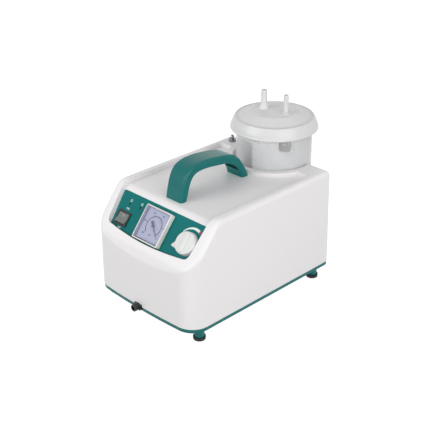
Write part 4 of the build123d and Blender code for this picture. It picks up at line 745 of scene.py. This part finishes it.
class ASPIRATOR_OT_jar(bpy.types.Operator):
    """Finishes the jar, its lid and the fittings inside and beside it"""

    bl_idname = "aspirator.jar"
    bl_label = "Jar"

    def execute(self, context):
        look = context.scene.aspirator
        # Milky polypropylene with a faint view of what is inside
        jar = see_through("Milky polypropylene", look.jar, 0.74, 0.25, 0.25)
        lid = surface("Lid polypropylene", look.lid, 0.36, grain=0.7, depth=0.008, tone=0.015, edge=0.8)
        cage = surface(
            "Cage polypropylene", colour("#4a4a4a"), 0.4, grain=0.7, depth=0.006, tone=0.03, edge=0.3
        )
        seal = surface("Silicone seal", colour("#c9c8c4"), 0.6, grain=0.4, depth=0.01, tone=0.03, edge=0.3)
        ball = surface("Float", colour("#e8e6df"), 0.4, grain=0.6, depth=0.004, tone=0.02, edge=0.1)
        bright = turned_metal("Nickel plate", colour("#8f8f94"), 0.2)
        finish_nodes(
            (
                ("jar", jar),
                ("jar_lid", lid),
                ("float_cage", cage),
                ("lid_gasket", seal),
                ("float_ball", ball),
                ("vacuum_nozzle", bright),
            )
        )
        lid_shell(lid)
        return {"FINISHED"}


class ASPIRATOR_OT_works(bpy.types.Operator):
    """Finishes what is inside the case: gauge movement, valve, supply, motor, pump and hoses"""

    bl_idname = "aspirator.works"
    bl_label = "Works"

    def execute(self, context):
        brass = turned_metal("Brass", colour("#b8954f"), 0.28)
        tinned = turned_metal("Tinned brass", colour("#b9b7a6"), 0.3)
        steel = turned_metal("Ground steel", colour("#9a9ca0"), 0.22)
        # Stacked sheets of electrical steel, 0.5 mm thick
        laminated = turned_metal("Laminated steel", colour("#77797c"), 0.4, lines=0.5)
        copper = turned_metal("Enamelled copper", colour("#a4552b"), 0.3, lines=0.6)
        cast = surface(
            "Cast aluminium", colour("#a9abad"), 0.5, 1.0, grain=0.8, depth=0.05, tone=0.06, edge=0.6
        )
        painted = surface(
            "Painted steel", colour("#54585a"), 0.45, grain=0.5, depth=0.01, tone=0.05, edge=0.4
        )
        rubber = surface("Pump rubber", colour("#202022"), 0.7, grain=0.4, depth=0.02, tone=0.1, edge=0.3)
        silicone = see_through("Silicone hose", colour("#cfc9ba"), 0.3, 0.3, 0.3)
        glass = see_through("Fuse glass", colour("#d5ded8"), 0.7, 0.05, 0.0, edge=0.1)
        finish_nodes(
            (
                ("switch_blades gauge_movement gauge_bourdon_tube gauge_stem", brass),
                ("regulator_spindle regulator_valve nozzle_nut", brass),
                ("mains_pins", tinned),
                ("fuse", glass),
                ("pump_chassis", painted),
                ("motor_stator rotor_core", laminated),
                ("stator_coils", copper),
                ("motor_bells connecting_rod diaphragm_clamp pump_body valve_plate pump_cover", cast),
                ("motor_bearings motor_shaft eccentric rod_bearing reed_valves", steel),
                ("diaphragm", rubber),
                ("vacuum_hoses", silicone),
            )
        )
        return {"FINISHED"}


class ASPIRATOR_OT_stage(bpy.types.Operator):
    """Sets the floor, background, lights and the camera of the reference view"""

    bl_idname = "aspirator.stage"
    bl_label = "Stage"

    def shown(self, tree):
        """A socket that is 1 where the eye, a reflection or a clear piece sees the background."""
        rays = add_node(tree, "ShaderNodeLightPath", (-1100, 200)).outputs
        seen = rays["Is Camera Ray"]
        for kind in ("Is Glossy Ray", "Is Transmission Ray"):
            either = add_node(
                tree, "ShaderNodeMath", (-800, 200), {0: seen, 1: rays[kind]}, operation="MAXIMUM"
            )
            seen = either.outputs[0]
        return seen

    def execute(self, context):
        look = context.scene.aspirator
        scene = context.scene
        floor_mesh = bpy.data.meshes.new("floor")
        corners = [(x * FLOOR_REACH, y * FLOOR_REACH, 0) for x, y in ((-1, -1), (1, -1), (1, 1), (-1, 1))]
        floor_mesh.from_pydata(corners, [], [(0, 1, 2, 3)])
        floor = add_object("floor", floor_mesh)
        # White paper: it shows as white to the eye and in reflections, and lights the object only by bounce
        paper, tree = new_material("Floor paper")
        glow = add_node(
            tree, "ShaderNodeMath", (-400, -100), {0: self.shown(tree), 1: FLOOR_GLOW}, operation="MULTIPLY"
        )
        matt = add_node(tree, "ShaderNodeBsdfDiffuse", (-200, 100), {"Color": (0.3, 0.3, 0.3, 1)})
        bright = add_node(tree, "ShaderNodeEmission", (-200, -100), {"Strength": glow.outputs[0]})
        both = add_node(tree, "ShaderNodeAddShader", (0, 0), {0: matt.outputs[0], 1: bright.outputs[0]})
        add_node(tree, "ShaderNodeOutputMaterial", (200, 0), {"Surface": both.outputs[0]})
        floor_mesh.materials.append(paper)

        world = bpy.data.worlds.new("Studio")
        scene.world = world
        world.use_nodes = True
        tree = world.node_tree
        tree.nodes.clear()
        ambient = add_node(tree, "ShaderNodeBackground", (-300, 0), {"Color": WHITE, "Strength": look.sky})
        white = add_node(tree, "ShaderNodeBackground", (-300, -150), {"Color": WHITE, "Strength": 1.0})
        mix = add_node(
            tree,
            "ShaderNodeMixShader",
            (-100, 0),
            {0: self.shown(tree), 1: ambient.outputs[0], 2: white.outputs[0]},
        )
        add_node(tree, "ShaderNodeOutputWorld", (100, 0), {"Surface": mix.outputs[0]})

        for name, place, size, power in (
            ("key", (-0.5, -1.5, 0.8), 0.9, look.key_light),
            ("fill", (1.5, -0.3, 0.55), 1.1, look.fill_light),
        ):
            lamp = bpy.data.lights.new(name, "AREA")
            lamp.size = size
            lamp.energy = power
            light = add_object(name, lamp)
            light.location = place
            light.rotation_euler = (LAMP_AIM - Vector(place)).to_track_quat("-Z", "Y").to_euler()

        lens = bpy.data.cameras.new("photo_view")
        lens.lens = FOCAL_PIXELS / PHOTO_PIXELS * SENSOR
        lens.sensor_width = SENSOR
        lens.clip_start = 0.01
        camera = add_object("photo_view", lens)
        back = (CAMERA_PLACE - CAMERA_AIM).normalized()
        right = Vector((0, 0, 1)).cross(back).normalized()
        up = back.cross(right)
        tilted_right = right * cos(CAMERA_ROLL) + up * sin(CAMERA_ROLL)
        tilted_up = up * cos(CAMERA_ROLL) - right * sin(CAMERA_ROLL)
        axes = Matrix((tilted_right, tilted_up, back)).transposed().to_4x4()
        camera.matrix_world = Matrix.Translation(CAMERA_PLACE) @ axes
        scene.camera = camera
        scene.view_settings.view_transform = "Standard"
        return {"FINISHED"}


class ASPIRATOR_PT_panel(bpy.types.Panel):
    """Sidebar panel with the settings and one button for each group of pieces"""

    bl_idname = "ASPIRATOR_PT_panel"
    bl_label = "Vacuum aspirator"
    bl_space_type = "VIEW_3D"
    bl_region_type = "UI"
    bl_category = "Aspirator"

    def draw(self, context):
        look = context.scene.aspirator
        for name in AspiratorSettings.__annotations__:
            self.layout.prop(look, name)
        for operator in STEPS:
            self.layout.operator(operator.bl_idname)


STEPS = (
    ASPIRATOR_OT_case,
    ASPIRATOR_OT_panel,
    ASPIRATOR_OT_gauge,
    ASPIRATOR_OT_jar,
    ASPIRATOR_OT_works,
    ASPIRATOR_OT_stage,
)
CLASSES = (AspiratorSettings,) + STEPS + (ASPIRATOR_PT_panel,)


def register():
    for cls in CLASSES:
        bpy.utils.register_class(cls)
    bpy.types.Scene.aspirator = bpy.props.PointerProperty(type=AspiratorSettings)


def unregister():
    del bpy.types.Scene.aspirator
    for cls in reversed(CLASSES):
        bpy.utils.unregister_class(cls)


def main():
    """Registers the add-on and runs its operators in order."""
    register()
    for step in STEPS:
        area, name = step.bl_idname.split(".")
        if getattr(getattr(bpy.ops, area), name)() != {"FINISHED"}:
            raise RuntimeError(step.bl_label + " did not finish")


if __name__ == "__main__":
    main()
